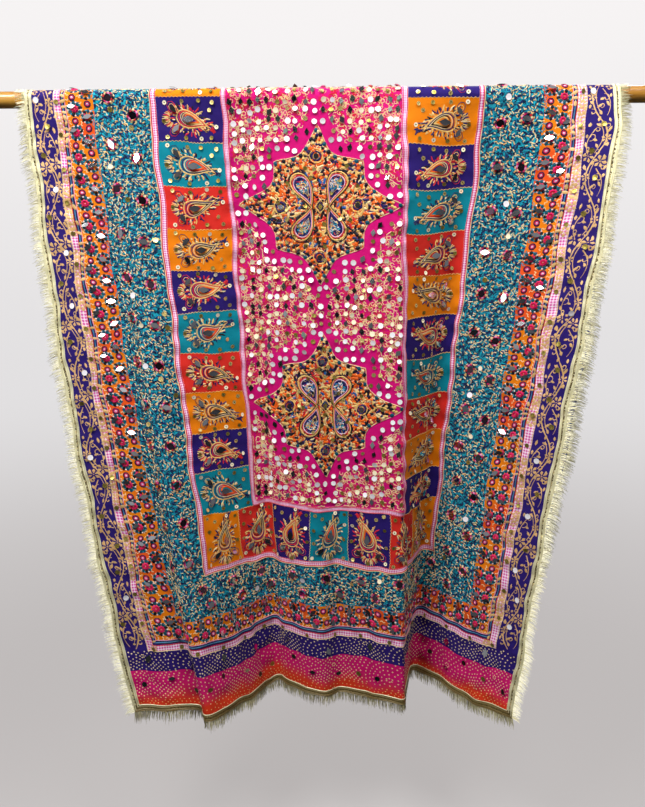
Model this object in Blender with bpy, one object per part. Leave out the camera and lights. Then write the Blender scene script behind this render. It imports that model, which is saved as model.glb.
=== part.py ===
"""A long patchwork shawl (dupatta) folded over a round wooden rod, with both falls hanging free.

Metres, +Z up. The origin is the centre of the rod, +X runs along the rod to the viewer's right and the
viewer looks along +Y, so the front fall is on the -Y side.

The cloth is one rectangle of sewn pieces. A point of it is named by u, measured across the cloth from its
left edge, and v, measured along it from the top of the rod, down the front or down the back. Each fall is
worked out from a table of folds: at every height the plan line of the cloth turns by the angles in the
table, which grow from nothing at the rod to their full value at the hem.
"""
import math
from collections import namedtuple

import bmesh
import bpy
import numpy as np

# Rod
ROD_RADIUS = 0.015
ROD_LENGTH = 1.300
ROD_SIDES = 32

# Cloth
CLOTH_WIDTH = 1.100
WALL = 0.0016
SEAM_GAP = 0.0003
ROD_GAP = 0.0005
BEND_RADIUS = ROD_RADIUS + ROD_GAP + WALL / 2
BEND_LENGTH = BEND_RADIUS * math.pi / 2
CLOTH_SHIFT = -0.007
FOLD_BLEND = 0.012
FOLD_FLANK = 0.014
SOFT_START = 0.05
FALL_DROP = 1.212
SHIFT_FIXED_AT = CLOTH_WIDTH / 2

# Fringe
FRINGE_REACH = 0.020
FRINGE_STRIP = 0.0025
FRINGE_PITCH = 0.031

# Fineness of the worked-out surface and of the walls
TABLE_STEP_U = 0.002
TABLE_STEP_V = 0.020
TABLE_MARGIN = 0.030
BEND_ROWS = 4
FALL_ROWS = 7
SLIVER = 0.006

# Widths of the bands across the cloth, from the left edge to the right one. It is sewn by hand, so the
# two sides are not quite equal.
Band = namedtuple("Band", "name width")
ACROSS = (
    Band("tape_left", 0.014),
    Band("navy_left", 0.040),
    Band("pink_left", 0.022),
    Band("orange_left", 0.053),
    Band("teal_left", 0.105),
    Band("inner_ribbon_left", 0.012),
    Band("patches_left", 0.121),
    Band("field_ribbon_left", 0.010),
    Band("field", 0.326),
    Band("field_ribbon_right", 0.011),
    Band("patches_right", 0.131),
    Band("inner_ribbon_right", 0.011),
    Band("teal_right", 0.106),
    Band("orange_right", 0.052),
    Band("pink_right", 0.026),
    Band("navy_right", 0.046),
    Band("tape_right", 0.014),
)

# Heights of the bands below the field, the same at both ends of the cloth
DOWN = (
    Band("field_ribbon", 0.010),
    Band("patches", 0.110),
    Band("inner_ribbon", 0.012),
    Band("teal", 0.085),
    Band("orange", 0.050),
    Band("pink", 0.024),
    Band("navy_dots", 0.042),
    Band("magenta_dots", 0.058),
    Band("red_edge", 0.016),
    Band("tape", 0.014),
)

# How far the field reaches down each fall, from the top of the rod
FIELD_END = {"front": 0.823, "back": 0.765}

# The right-hand columns of the back fall curve most. Each is in three lengths, cut this far from the top.
COLUMN_CUTS = {"front": (), "back": (0.056, 0.580)}

# A fold runs across the cloth from start to the next fold's start. turn is its plan angle at the hem, in
# degrees, where plus comes towards the viewer going right. growth is the power by which it grows down.
Fold = namedtuple("Fold", "start turn growth")
FOLDS = {
    "front": (
        Fold(0.000, -8, 0.90),
        Fold(0.140, 90, 0.90),
        Fold(0.179, -58, 0.93),
        Fold(0.401, 68, 0.30),
        Fold(0.428, 25, 0.30),
        Fold(0.523, -52, 1.00),
        Fold(0.558, 25, 0.32),
        Fold(0.697, -79, 0.50),
        Fold(0.831, 49, 0.30),
    ),
    "back": (
        Fold(0.000, 4, 0.90),
        Fold(0.140, 66, 0.90),
        Fold(0.182, -56, 1.00),
        Fold(0.404, 62, 0.45),
        Fold(0.436, 24, 0.35),
        Fold(0.690, -72, 0.75),
        Fold(0.835, 44, 0.85),
        Fold(0.950, 60, 1.40),
    ),
}

# How far the middle of each fall strays from straight down: across, then towards the viewer, each as a
# straight part and a squared part at the hem
Drift = namedtuple("Drift", "across across_squared forward forward_squared")
DRIFT = {
    "front": Drift(0.027, 0.005, -0.098, 0.042),
    "back": Drift(0.052, -0.030, -0.142, 0.042),
}

# Colour, roughness and metallic value of each cloth
Finish = namedtuple("Finish", "color roughness metallic")
FINISHES = {
    "magenta": Finish((0.66, 0.01, 0.20), 0.80, 0.0),
    "navy": Finish((0.03, 0.01, 0.15), 0.80, 0.0),
    "teal": Finish((0.01, 0.23, 0.30), 0.80, 0.0),
    "orange": Finish((0.87, 0.22, 0.01), 0.80, 0.0),
    "red": Finish((0.76, 0.05, 0.02), 0.80, 0.0),
    "pink": Finish((0.80, 0.35, 0.55), 0.80, 0.0),
    "gold_tape": Finish((0.66, 0.60, 0.32), 0.45, 0.3),
    "fringe": Finish((0.68, 0.64, 0.38), 0.70, 0.0),
    "rod_wood": Finish((0.46, 0.21, 0.04), 0.45, 0.0),
}


def spans(bands, start):
    """The two edges of each band, when the first one begins at start."""
    edges = {}
    for band in bands:
        edges[band.name] = (start, start + band.width)
        start += band.width
    return edges


def running_sum(rates, step):
    """Adds up rates along each row by trapezia, from nothing at the first column."""
    middles = (rates[:, 1:] + rates[:, :-1]) / 2 * step
    return np.concatenate([np.zeros((len(rates), 1)), np.cumsum(middles, axis=1)], axis=1)


class Fall:
    """The middle surface of one fall, with its quarter turn over the rod."""

    def __init__(self, side):
        self.toward = -1.0 if side == "front" else 1.0
        self.field_end = FIELD_END[side]
        self.length = self.field_end + sum(band.width for band in DOWN)
        self.rows = spans(DOWN, self.field_end)
        self.folds = FOLDS[side]
        self.cuts = COLUMN_CUTS[side]
        self.u = np.arange(-TABLE_MARGIN, CLOTH_WIDTH + TABLE_MARGIN, TABLE_STEP_U)
        self.s = np.arange(0, self.length - BEND_LENGTH + TABLE_MARGIN, TABLE_STEP_V)
        self.work_out(DRIFT[side])

    def turns(self):
        """Plan angle of the cloth, for each height and each place across it."""
        down = self.s / FALL_DROP + SOFT_START
        turns = np.zeros((len(self.s), len(self.u)))
        reached = np.ones(len(self.u))
        starts = [fold.start for fold in self.folds[1:]] + [None]
        for fold, end in zip(self.folds, starts):
            left = 0 if end is None else 0.5 + 0.5 * np.tanh((self.u - end) / FOLD_BLEND)
            soft = SOFT_START ** fold.growth
            grown = (down ** fold.growth - soft) / ((1 + SOFT_START) ** fold.growth - soft)
            turns += math.radians(fold.turn) * np.outer(grown, reached - left)
            reached = left
        return turns

    def work_out(self, drift):
        """Tables of x, y and z below the rod: the cloth keeps its width along every plan line."""
        turns = self.turns()
        across = running_sum(np.cos(turns), TABLE_STEP_U)
        forward = running_sum(np.sin(turns), TABLE_STEP_U)
        middle = int(np.argmin(abs(self.u - SHIFT_FIXED_AT)))
        down = (self.s / FALL_DROP)[:, None]
        self.x = across - across[:, middle:middle + 1] + CLOTH_SHIFT
        self.x += drift.across * down + drift.across_squared * down ** 2
        forward += drift.forward * down + drift.forward_squared * down ** 2 - forward[:, middle:middle + 1]
        self.y = self.toward * BEND_RADIUS - forward
        slope_x = np.gradient(self.x, TABLE_STEP_V, axis=0)
        slope_y = np.gradient(self.y, TABLE_STEP_V, axis=0)
        sink = np.sqrt(np.clip(1 - slope_x ** 2 - slope_y ** 2, 0.2, 1))
        self.z = -running_sum(sink.T, TABLE_STEP_V).T

    def read(self, table, u, s):
        """Reads a table between its points."""
        column = (u - self.u[0]) / TABLE_STEP_U
        row = s / TABLE_STEP_V
        i = min(int(row), len(self.s) - 2)
        j = min(int(column), len(self.u) - 2)
        a = row - i
        b = column - j
        upper = table[i, j] * (1 - b) + table[i, j + 1] * b
        lower = table[i + 1, j] * (1 - b) + table[i + 1, j + 1] * b
        return upper * (1 - a) + lower * a

    def place(self, u, v):
        """A point of the middle surface."""
        if v < BEND_LENGTH:
            turned = v / BEND_RADIUS
            x = self.read(self.x, u, 0)
            return np.array([x, self.toward * BEND_RADIUS * math.sin(turned), BEND_RADIUS * math.cos(turned)])
        s = v - BEND_LENGTH
        return np.array([self.read(self.x, u, s), self.read(self.y, u, s), self.read(self.z, u, s)])

    def outward(self, u, v):
        """The unit normal that points away from the rod."""
        step = TABLE_STEP_U
        along_u = self.place(u + step, v) - self.place(u - step, v)
        along_v = self.place(u, v + step) - self.place(u, max(v - step, 0))
        normal = np.cross(along_v, along_u) * -self.toward
        return normal / np.linalg.norm(normal)

    def wall_points(self, u, v):
        """The outer and the inner point of the wall."""
        middle = self.place(u, v)
        half = self.outward(u, v) * WALL / 2
        return middle + half, middle - half


def lines_between(low, high, shared):
    """Grid lines from low to high, with the shared lines that fall well inside."""
    inner = [line for line in shared if low + SLIVER < line < high - SLIVER]
    return [low] + inner + [high]


def shared_columns(fall):
    """Places across the cloth where it needs a grid line: every seam, and both flanks of every fold."""
    seams = [edge for span in spans(ACROSS, 0).values() for edge in span]
    columns = sorted(set(round(seam, 6) for seam in seams))
    for fold in fall.folds[1:]:
        for line in (fold.start - FOLD_FLANK, fold.start, fold.start + FOLD_FLANK):
            if min(abs(line - column) for column in columns) > SLIVER:
                columns.append(line)
    return sorted(columns)


def shared_rows(fall):
    """Heights where the cloth needs a grid line: over the rod, down the field, at each seam and each cut."""
    bend = [BEND_LENGTH * k / BEND_ROWS for k in range(1, BEND_ROWS + 1)]
    drop = fall.field_end - BEND_LENGTH
    plain = [BEND_LENGTH + drop * k / FALL_ROWS for k in range(1, FALL_ROWS + 1)]
    return sorted(bend + plain + list(fall.cuts) + [span[1] for span in fall.rows.values()])


def finish_material(name):
    """A plain material of one of the cloths."""
    known = bpy.data.materials.get(name)
    if known:
        return known
    finish = FINISHES[name]
    material = bpy.data.materials.new(name)
    material.use_nodes = True
    shader = material.node_tree.nodes["Principled BSDF"]
    shader.inputs["Base Color"].default_value = (*finish.color, 1.0)
    shader.inputs["Roughness"].default_value = finish.roughness
    shader.inputs["Metallic"].default_value = finish.metallic
    material.diffuse_color = (*finish.color, 1.0)
    return material


def add_object(name, points, faces, finish):
    """Makes one object from points and faces, with its faces turned outwards."""
    mesh = bpy.data.meshes.new(name)
    mesh.from_pydata([tuple(point) for point in points], [], faces)
    shape = bmesh.new()
    shape.from_mesh(mesh)
    bmesh.ops.recalc_face_normals(shape, faces=shape.faces)
    if shape.calc_volume(signed=True) < 0:
        bmesh.ops.reverse_faces(shape, faces=shape.faces)
    shape.to_mesh(mesh)
    shape.free()
    mesh.materials.append(finish_material(finish))
    made = bpy.data.objects.new(name, mesh)
    bpy.context.scene.collection.objects.link(made)
    return made


def cloth_piece(name, fall, across, down, finish, cutout=None):
    """A closed wall over a rectangle of the cloth.

    across and down are its two spans. cutout is (left, right, bottom) of a rectangle that is open at the
    top, which turns the piece into a frame round three sides.
    """
    half = SEAM_GAP / 2
    u_low, u_high = across[0] + half, across[1] - half
    v_low, v_high = down[0] + half, down[1] - half
    columns = lines_between(u_low, u_high, shared_columns(fall))
    rows = lines_between(v_low, v_high, shared_rows(fall))
    if cutout:
        left, right, bottom = cutout[0] - half, cutout[1] + half, cutout[2] + half
        columns = [c for c in columns if min(abs(c - left), abs(c - right)) > SLIVER or c in (u_low, u_high)]
        rows = [r for r in rows if abs(r - bottom) > SLIVER or r in (v_low, v_high)]
        columns = sorted(columns + [left, right])
        rows = sorted(rows + [bottom])

    def kept(i, j):
        """True where the wall has a cell between columns i and i + 1 and rows j and j + 1."""
        if not (0 <= i < len(columns) - 1 and 0 <= j < len(rows) - 1):
            return False
        if not cutout:
            return True
        inside = left <= columns[i] and columns[i + 1] <= right and rows[j + 1] <= bottom
        return not inside

    points = []
    outer = {}
    inner = {}

    def corner(i, j):
        """Numbers of the outer and the inner point at a grid corner, made when first asked for."""
        if (i, j) not in outer:
            high, low = fall.wall_points(columns[i], rows[j])
            outer[i, j] = len(points)
            inner[i, j] = len(points) + 1
            points.extend((high, low))
        return outer[i, j], inner[i, j]

    faces = []
    neighbours = (
        (0, -1, (0, 0), (1, 0)),
        (1, 0, (1, 0), (1, 1)),
        (0, 1, (1, 1), (0, 1)),
        (-1, 0, (0, 1), (0, 0)),
    )
    for i in range(len(columns) - 1):
        for j in range(len(rows) - 1):
            if not kept(i, j):
                continue
            ring = [corner(i, j), corner(i + 1, j), corner(i + 1, j + 1), corner(i, j + 1)]
            for half_cell in (ring[:3], [ring[2], ring[3], ring[0]]):
                faces.append([pair[0] for pair in half_cell])
                faces.append([pair[1] for pair in reversed(half_cell)])
            for step_i, step_j, start, end in neighbours:
                if kept(i + step_i, j + step_j):
                    continue
                first = corner(i + start[0], j + start[1])
                second = corner(i + end[0], j + end[1])
                faces.append([first[0], first[1], second[1], second[0]])
    return add_object(name, points, faces, finish)


def even_steps(start, end, pitch):
    """Places from start to end, about a pitch apart."""
    count = round((end - start) / pitch)
    return [start + (end - start) * k / count for k in range(count + 1)]


def fringe(name, fall, stations, place):
    """A narrow strip just outside the cloth's edge, with a pointed lock between each two stations.

    A station is a distance along the edge, and place(along, out) gives the u and v of a point that lies
    out beyond the edge.
    """
    count = len(stations) - 1
    points = []
    for station in stations:
        for out in (SEAM_GAP, SEAM_GAP + FRINGE_STRIP):
            points.extend(fall.wall_points(*place(station, out)))
    faces = [[0, 1, 3, 2], [4 * count, 4 * count + 2, 4 * count + 3, 4 * count + 1]]
    for k in range(count):
        a = 4 * k
        b = a + 4
        tip = len(points)
        points.append(fall.place(*place((stations[k] + stations[k + 1]) / 2, FRINGE_REACH)))
        faces += [[a, a + 2, b + 2, b], [a + 1, b + 1, b + 3, a + 3], [a, b, b + 1, a + 1]]
        faces += [[a + 2, tip, b + 2], [a + 3, b + 3, tip], [a + 2, a + 3, tip], [b + 2, tip, b + 3]]
    return add_object(name, points, faces, "fringe")


def side_pieces(side):
    """All the cloth pieces of one fall."""
    fall = Fall(side)
    across = spans(ACROSS, 0)
    rows = fall.rows
    top = 0.0

    def stretch(first, last):
        """The span from the left edge of one band to the right edge of another."""
        return across[first][0], across[last][1]

    def name(piece):
        return f"{side}_{piece}"

    field_row = (top, fall.field_end)
    cloth_piece(name("field"), fall, across["field"], field_row, "magenta")
    field_hole = (*across["field"], fall.field_end)
    frame = stretch("field_ribbon_left", "field_ribbon_right")
    cloth_piece(name("field_ribbon"), fall, frame, (top, rows["field_ribbon"][1]), "pink", field_hole)
    for hand in ("left", "right"):
        column = (top, rows["field_ribbon"][1])
        cloth_piece(name(f"patches_{hand}"), fall, across[f"patches_{hand}"], column, "orange")
    cloth_piece(name("patches_end"), fall, stretch("patches_left", "patches_right"), rows["patches"], "red")
    patch_hole = (*stretch("patches_left", "patches_right"), rows["patches"][1])
    frame = stretch("inner_ribbon_left", "inner_ribbon_right")
    cloth_piece(name("inner_ribbon"), fall, frame, (top, rows["inner_ribbon"][1]), "pink", patch_hole)
    for hand in ("left", "right"):
        for band, end in (("teal", "teal"), ("orange", "orange"), ("pink", "pink"), ("navy", "pink")):
            lengths = (("", top, rows[end][1]),)
            if (side, hand) == ("back", "right"):
                cuts = (top, *fall.cuts, rows[end][1])
                lengths = tuple(zip(("_over", "_upper", "_lower"), cuts[:-1], cuts[1:]))
            for ending, start, stop in lengths:
                column = across[f"{band}_{hand}"]
                cloth_piece(name(f"{band}_{hand}{ending}"), fall, column, (start, stop), band)
    inner = stretch("inner_ribbon_left", "inner_ribbon_right")
    cloth_piece(name("teal_end"), fall, inner, rows["teal"], "teal")
    cloth_piece(name("orange_end"), fall, stretch("teal_left", "teal_right"), rows["orange"], "orange")
    cloth_piece(name("pink_end"), fall, stretch("orange_left", "orange_right"), rows["pink"], "pink")
    full = stretch("navy_left", "navy_right")
    cloth_piece(name("navy_end"), fall, full, rows["navy_dots"], "navy")
    cloth_piece(name("magenta_end"), fall, full, rows["magenta_dots"], "magenta")
    cloth_piece(name("red_edge"), fall, full, rows["red_edge"], "red")
    tape_hole = (*full, rows["red_edge"][1])
    cloth_piece(name("tape"), fall, (0.0, CLOTH_WIDTH), (top, fall.length), "gold_tape", tape_hole)

    bend = [SEAM_GAP / 2] + [BEND_LENGTH * k / BEND_ROWS for k in range(1, BEND_ROWS)]
    down = bend + even_steps(BEND_LENGTH, fall.length, FRINGE_PITCH)
    fringe(name("fringe_left"), fall, down, lambda along, out: (-out, along))
    fringe(name("fringe_right"), fall, down, lambda along, out: (CLOTH_WIDTH + out, along))
    hem = even_steps(0.0, CLOTH_WIDTH, FRINGE_PITCH)
    fringe(name("fringe_end"), fall, hem, lambda along, out: (along, fall.length + out))


def rod():
    """The round wooden rod, with plain flat ends."""
    points = []
    for end in (-ROD_LENGTH / 2, ROD_LENGTH / 2):
        for k in range(ROD_SIDES):
            turn = 2 * math.pi * k / ROD_SIDES
            points.append((end, ROD_RADIUS * math.cos(turn), ROD_RADIUS * math.sin(turn)))
    faces = [list(range(ROD_SIDES)), list(range(ROD_SIDES, 2 * ROD_SIDES))]
    for k in range(ROD_SIDES):
        following = (k + 1) % ROD_SIDES
        faces.append([k, following, following + ROD_SIDES, k + ROD_SIDES])
    made = add_object("rod", points, faces, "rod_wood")
    made.data.shade_smooth()
    made.data.set_sharp_from_angle(angle=math.radians(40))
    return made


def main():
    """Clears the scene and builds the rod and both falls."""
    for old in list(bpy.data.objects):
        bpy.data.objects.remove(old, do_unlink=True)
    rod()
    side_pieces("front")
    side_pieces("back")


main()
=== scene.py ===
"""A patchwork dupatta over a wooden rod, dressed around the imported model.

Metres. A point of the cloth is named by u, across it from its left edge, and w, along it from the top of the
rod: plus down the front fall, minus down the back one. Motifs are drawn flat in a local frame whose +b runs
towards smaller w, and are then set on the cloth. Colours are those of the screen, 0 to 255.
"""

import math
from collections import namedtuple

import bpy
import numpy as np
from mathutils import Matrix, Vector


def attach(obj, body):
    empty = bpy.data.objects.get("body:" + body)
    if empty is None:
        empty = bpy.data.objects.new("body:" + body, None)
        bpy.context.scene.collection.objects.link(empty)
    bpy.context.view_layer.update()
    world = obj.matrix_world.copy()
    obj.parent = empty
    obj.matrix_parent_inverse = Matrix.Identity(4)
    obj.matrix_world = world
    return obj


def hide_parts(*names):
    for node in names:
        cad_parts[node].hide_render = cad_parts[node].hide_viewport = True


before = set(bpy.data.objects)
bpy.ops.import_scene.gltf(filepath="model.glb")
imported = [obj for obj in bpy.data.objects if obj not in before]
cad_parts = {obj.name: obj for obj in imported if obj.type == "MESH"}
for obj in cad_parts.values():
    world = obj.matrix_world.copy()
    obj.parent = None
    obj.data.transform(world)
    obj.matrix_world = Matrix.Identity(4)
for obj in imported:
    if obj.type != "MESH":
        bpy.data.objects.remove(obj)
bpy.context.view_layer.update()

# Sizes of the cloth, the same as in the part's source
CLOTH_WIDTH = 1.100
BEND_RADIUS = 0.0163
BEND_LENGTH = BEND_RADIUS * math.pi / 2
CLOTH_SHIFT = -0.007
FOLD_BLEND = 0.012
SOFT_START = 0.05
FALL_DROP = 1.212
# The square of the least that any length of a fall drops, however much its folds lean
LEAST_DROP = 0.2
FRINGE_REACH = 0.020

# Widths of the bands across the cloth from the left, and of the rows from the field's end to the hem
ACROSS = {
    "tape_left": 0.014, "navy_left": 0.040, "pink_left": 0.022, "orange_left": 0.053, "teal_left": 0.105,
    "inner_ribbon_left": 0.012, "patches_left": 0.121, "field_ribbon_left": 0.010, "field": 0.326,
    "field_ribbon_right": 0.011, "patches_right": 0.131, "inner_ribbon_right": 0.011, "teal_right": 0.106,
    "orange_right": 0.052, "pink_right": 0.026, "navy_right": 0.046, "tape_right": 0.014,
}
DOWN = {
    "field_ribbon": 0.010, "patches": 0.110, "inner_ribbon": 0.012, "teal": 0.085, "orange": 0.050,
    "pink": 0.024, "navy_dots": 0.042, "magenta_dots": 0.058, "red_edge": 0.016, "tape": 0.014,
}
FIELD_END = {"front": 0.823, "back": 0.765}
SIGN = {"front": 1.0, "back": -1.0}

# Folds: start across the cloth, plan angle at the hem in degrees, and the power by which it grows down
Fold = namedtuple("Fold", "start turn growth")
FOLDS = {
    "front": [Fold(*row) for row in (
        (0.000, -8, 0.90), (0.140, 90, 0.90), (0.179, -58, 0.93), (0.401, 68, 0.30), (0.428, 25, 0.30),
        (0.523, -52, 1.00), (0.558, 25, 0.32), (0.697, -79, 0.50), (0.831, 49, 0.30),
    )],
    "back": [Fold(*row) for row in (
        (0.000, 4, 0.90), (0.140, 66, 0.90), (0.182, -56, 1.00), (0.404, 62, 0.45), (0.436, 24, 0.35),
        (0.690, -72, 0.75), (0.835, 44, 0.85), (0.950, 60, 1.40),
    )],
}
Drift = namedtuple("Drift", "across across_squared forward forward_squared")
DRIFT = {
    "front": Drift(0.027, 0.005, -0.098, 0.042),
    "back": Drift(0.052, -0.030, -0.142, 0.042),
}

# The deep fold on each fall is crisper than the others and rolls over a little towards the right
DEEP_FOLD = {"front": 0.697, "back": 0.690}
DEEP_BLEND = 0.008
ROLL_BEFORE = 0.007
ROLL_REACH = 0.024
ROLL = 0.007

# Small creases: where each one starts, how far it runs across and along, its width and its height
Crease = namedtuple("Crease", "u w across along width height")
CREASES = [Crease(*row) for row in (
    (0.540, 0.02, 0.004, 0.80, 0.010, -0.0012), (0.540, -0.74, 0.004, 0.70, 0.010, -0.0012),
    (0.300, 1.22, -0.060, -0.26, 0.030, 0.0045), (0.360, 1.22, -0.020, -0.20, 0.022, -0.0040),
    (0.480, 1.22, 0.015, -0.30, 0.034, 0.0040), (0.620, 1.22, 0.010, -0.24, 0.030, -0.0040),
    (0.070, 1.22, 0.020, -0.34, 0.030, 0.0040), (0.900, 1.22, -0.030, -0.30, 0.036, -0.0040),
    (1.010, 1.22, -0.020, -0.36, 0.030, 0.0040), (0.190, 0.10, 0.030, 0.42, 0.022, 0.0022),
    (0.270, 0.32, 0.080, 0.10, 0.020, -0.0020), (0.400, 0.18, 0.170, 0.12, 0.026, 0.0024),
    (0.620, 0.46, -0.200, 0.07, 0.024, 0.0022), (0.700, 0.24, 0.090, 0.20, 0.020, -0.0022),
    (0.860, 0.20, 0.010, 0.46, 0.024, 0.0026), (0.930, 0.34, 0.020, 0.50, 0.022, -0.0024),
    (0.460, 0.86, 0.130, 0.03, 0.020, 0.0020), (0.110, 0.50, 0.020, 0.40, 0.020, -0.0022),
    (0.330, 0.70, -0.060, 0.20, 0.022, 0.0024), (0.770, 0.62, 0.080, 0.30, 0.024, 0.0024),
    (1.050, 0.20, 0.010, 0.34, 0.020, 0.0024), (0.040, 0.16, 0.010, 0.44, 0.022, 0.0024),
    (0.200, -1.17, 0.030, 0.30, 0.032, 0.0045), (0.330, -1.17, -0.030, 0.26, 0.026, -0.0040),
    (0.520, -1.17, 0.020, 0.34, 0.034, 0.0040), (0.640, -1.17, -0.020, 0.24, 0.028, -0.0040),
    (0.780, -1.17, 0.020, 0.30, 0.032, 0.0040), (0.900, -1.17, -0.030, 0.34, 0.030, -0.0040),
    (0.050, -1.17, 0.020, 0.30, 0.030, 0.0040), (0.300, -0.50, 0.110, 0.18, 0.024, 0.0024),
    (0.600, -0.66, -0.150, 0.16, 0.024, -0.0022), (0.740, -0.40, 0.060, 0.24, 0.022, 0.0024),
    (0.180, -0.60, 0.020, 0.40, 0.022, -0.0024), (0.880, -0.70, 0.020, 0.50, 0.024, 0.0026),
    (1.040, -0.70, 0.010, 0.50, 0.022, -0.0022),
)]
CREASE_END = 0.060
# A crease that starts past this comes in from the hem, with no soft start
HEM_START = 1.1
HEM_LEAD = 0.05

# Puckers along the seams, the outermost row left smooth, and how far a seam strays from its straight line
PUCKER_PITCH = 0.041
PUCKER_REACH = 0.016
PUCKER_HEIGHT = 0.0013
PUCKERED_ROWS = 8
WOBBLE = 0.0021
ROD_FADE = 0.05

# Fineness
TABLE_STEP_U = 0.002
TABLE_STEP_S = 0.005
TABLE_MARGIN = 0.030
COARSE_CELL = 0.0085
FOLD_CELL = 0.0036
FOLD_REACH = 0.018
ROD_CELL = 0.0030
GRID_SAMPLES = 65
CELL_SLACK = 0.2

# The cloth's thickness, and how far a sewn-on band stands above its neighbours
CLOTH_HALF = 0.0004
RIBBON_LIFT = 0.0005

# The dark stripe on the inner edge of the pink strip, at the sides and at the ends
STRIPE_SIDE = 0.008
STRIPE_END = 0.010

# Patches: where the side columns start below the rod, and their height
PATCH_START = {"left": 0.026, "right": 0.032}
PATCH_PITCH = {"left": 0.080, "right": 0.081}
PATCH_COLORS = ("teal", "navy", "orange", "red")
END_PATCHES = ("orange", "red", "navy", "teal", "navy", "red", "orange")
# Colours of the side columns from the hem up, and on over the rod down the back
SIDE_PATCHES = {
    "left": ("teal", "navy", "orange", "red", "teal", "navy", "orange", "red", "teal", "navy", "orange"),
    "right": ("navy", "orange", "red", "teal", "navy", "orange", "red", "teal", "navy", "orange", "navy"),
}

# Medallions down the middle of the field
MEDALLION_U = 0.545
MEDALLIONS = (0.224, 0.614, -0.166, -0.556)

# The camera: an eye at the photograph's place, with the focal length in pixels of its frame
FRAME_HEIGHT = 807
EYE = (0.041, -1.448, -0.353)
EYE_DOWN = math.radians(8.82)
EYE_TURN = math.radians(-1.69)
EYE_ROLL = math.radians(-0.11)
EYE_FOCAL = 739
SENSOR = 36.0

# The studio: a round floor that curves up into a backdrop, far enough out for a view from any side
FLOOR_HEIGHT = -1.60
STUDIO_RADIUS = 5.0
STUDIO_BEND = 2.0
STUDIO_TOP = 6.0
FLOOR_RINGS = (0.5, 1.5)


def spans(bands, start):
    """The two edges of each band, when the first one begins at start."""
    edges = {}
    for name, width in bands.items():
        edges[name] = (start, start + width)
        start += width
    return edges


BANDS = spans(ACROSS, 0.0)
ROWS = {side: spans(DOWN, FIELD_END[side]) for side in SIGN}
LENGTH = {side: ROWS[side]["tape"][1] for side in SIGN}


def box_of(band, row=None):
    """The rectangle (left, right, low, high) out to a pair of bands and to a row's end on both falls."""
    row = row or band
    return BANDS[f"{band}_left"][0], BANDS[f"{band}_right"][1], -ROWS["back"][row][1], ROWS["front"][row][1]


def grown(box, left, low=None):
    """A rectangle made larger by a margin at its sides, and by another one at its ends."""
    low = left if low is None else low
    return box[0] - left, box[1] + left, box[2] - low, box[3] + low


def blend_box(first, second, share):
    """A rectangle between two others."""
    return tuple(a + (b - a) * share for a, b in zip(first, second))


def in_box(box, u, w):
    """True where a place lies in a rectangle."""
    return (box[0] < u) & (u < box[1]) & (box[2] < w) & (w < box[3])


WHOLE = (0.0, CLOTH_WIDTH, -LENGTH["back"], LENGTH["front"])
FIELD = (*BANDS["field"], -FIELD_END["back"], FIELD_END["front"])
INSIDE_TAPE = box_of("navy", "red_edge")
STRIPE = grown(box_of("orange"), STRIPE_SIDE, STRIPE_END)


def running_sum(rates, step):
    """Adds up rates along each row by trapezia, from nothing at the first column."""
    middles = (rates[:, 1:] + rates[:, :-1]) / 2 * step
    return np.concatenate([np.zeros((len(rates), 1)), np.cumsum(middles, axis=1)], axis=1)


def between(values, lines):
    """For each value, the number of the line before it and how far it is to the next one."""
    index = np.clip(np.searchsorted(lines, values, side="right") - 1, 0, len(lines) - 2)
    return index, (values - lines[index]) / (lines[index + 1] - lines[index])


def read_table(table, rows, columns):
    """Reads a table between its points. rows and columns are pairs made by between."""
    (i, a), (j, b) = rows, columns
    shape = a.shape + (1,) * (table.ndim - 2)
    a, b = a.reshape(shape), b.reshape(shape)
    upper = table[i, j] * (1 - b) + table[i, j + 1] * b
    lower = table[i + 1, j] * (1 - b) + table[i + 1, j + 1] * b
    return upper * (1 - a) + lower * a


def fall_tables(side):
    """Tables over s, below the bend, and u of one fall's x, y and z. The cloth keeps its width everywhere."""
    u = np.arange(-TABLE_MARGIN, CLOTH_WIDTH + TABLE_MARGIN, TABLE_STEP_U)
    s = np.arange(0, LENGTH[side] - BEND_LENGTH + TABLE_MARGIN, TABLE_STEP_S)
    down = s / FALL_DROP
    turns = np.zeros((len(s), len(u)))
    reached = np.ones(len(u))
    folds = FOLDS[side]
    ends = [fold.start for fold in folds[1:]] + [None]
    for fold, end in zip(folds, ends):
        blend = DEEP_BLEND if end == DEEP_FOLD[side] else FOLD_BLEND
        left = 0 if end is None else 0.5 + 0.5 * np.tanh((u - end) / blend)
        soft = SOFT_START ** fold.growth
        growth = ((down + SOFT_START) ** fold.growth - soft) / ((1 + SOFT_START) ** fold.growth - soft)
        turns += math.radians(fold.turn) * np.outer(growth, reached - left)
        reached = left
    across = running_sum(np.cos(turns), TABLE_STEP_U)
    forward = running_sum(np.sin(turns), TABLE_STEP_U)
    middle = int(np.argmin(abs(u - CLOTH_WIDTH / 2)))
    drift = DRIFT[side]
    down = down[:, None]
    x = across - across[:, middle:middle + 1] + CLOTH_SHIFT
    x = x + drift.across * down + drift.across_squared * down ** 2
    x += ROLL * down * np.exp(-((u - DEEP_FOLD[side] + ROLL_BEFORE) / ROLL_REACH) ** 2)
    forward += drift.forward * down + drift.forward_squared * down ** 2 - forward[:, middle:middle + 1]
    y = -SIGN[side] * BEND_RADIUS - forward
    slopes = np.gradient(x, TABLE_STEP_S, axis=0) ** 2 + np.gradient(y, TABLE_STEP_S, axis=0) ** 2
    z = -running_sum(np.sqrt(np.clip(1 - slopes, LEAST_DROP, 1)).T, TABLE_STEP_S).T
    return s, u, np.stack([x, y, z], axis=2)


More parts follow.
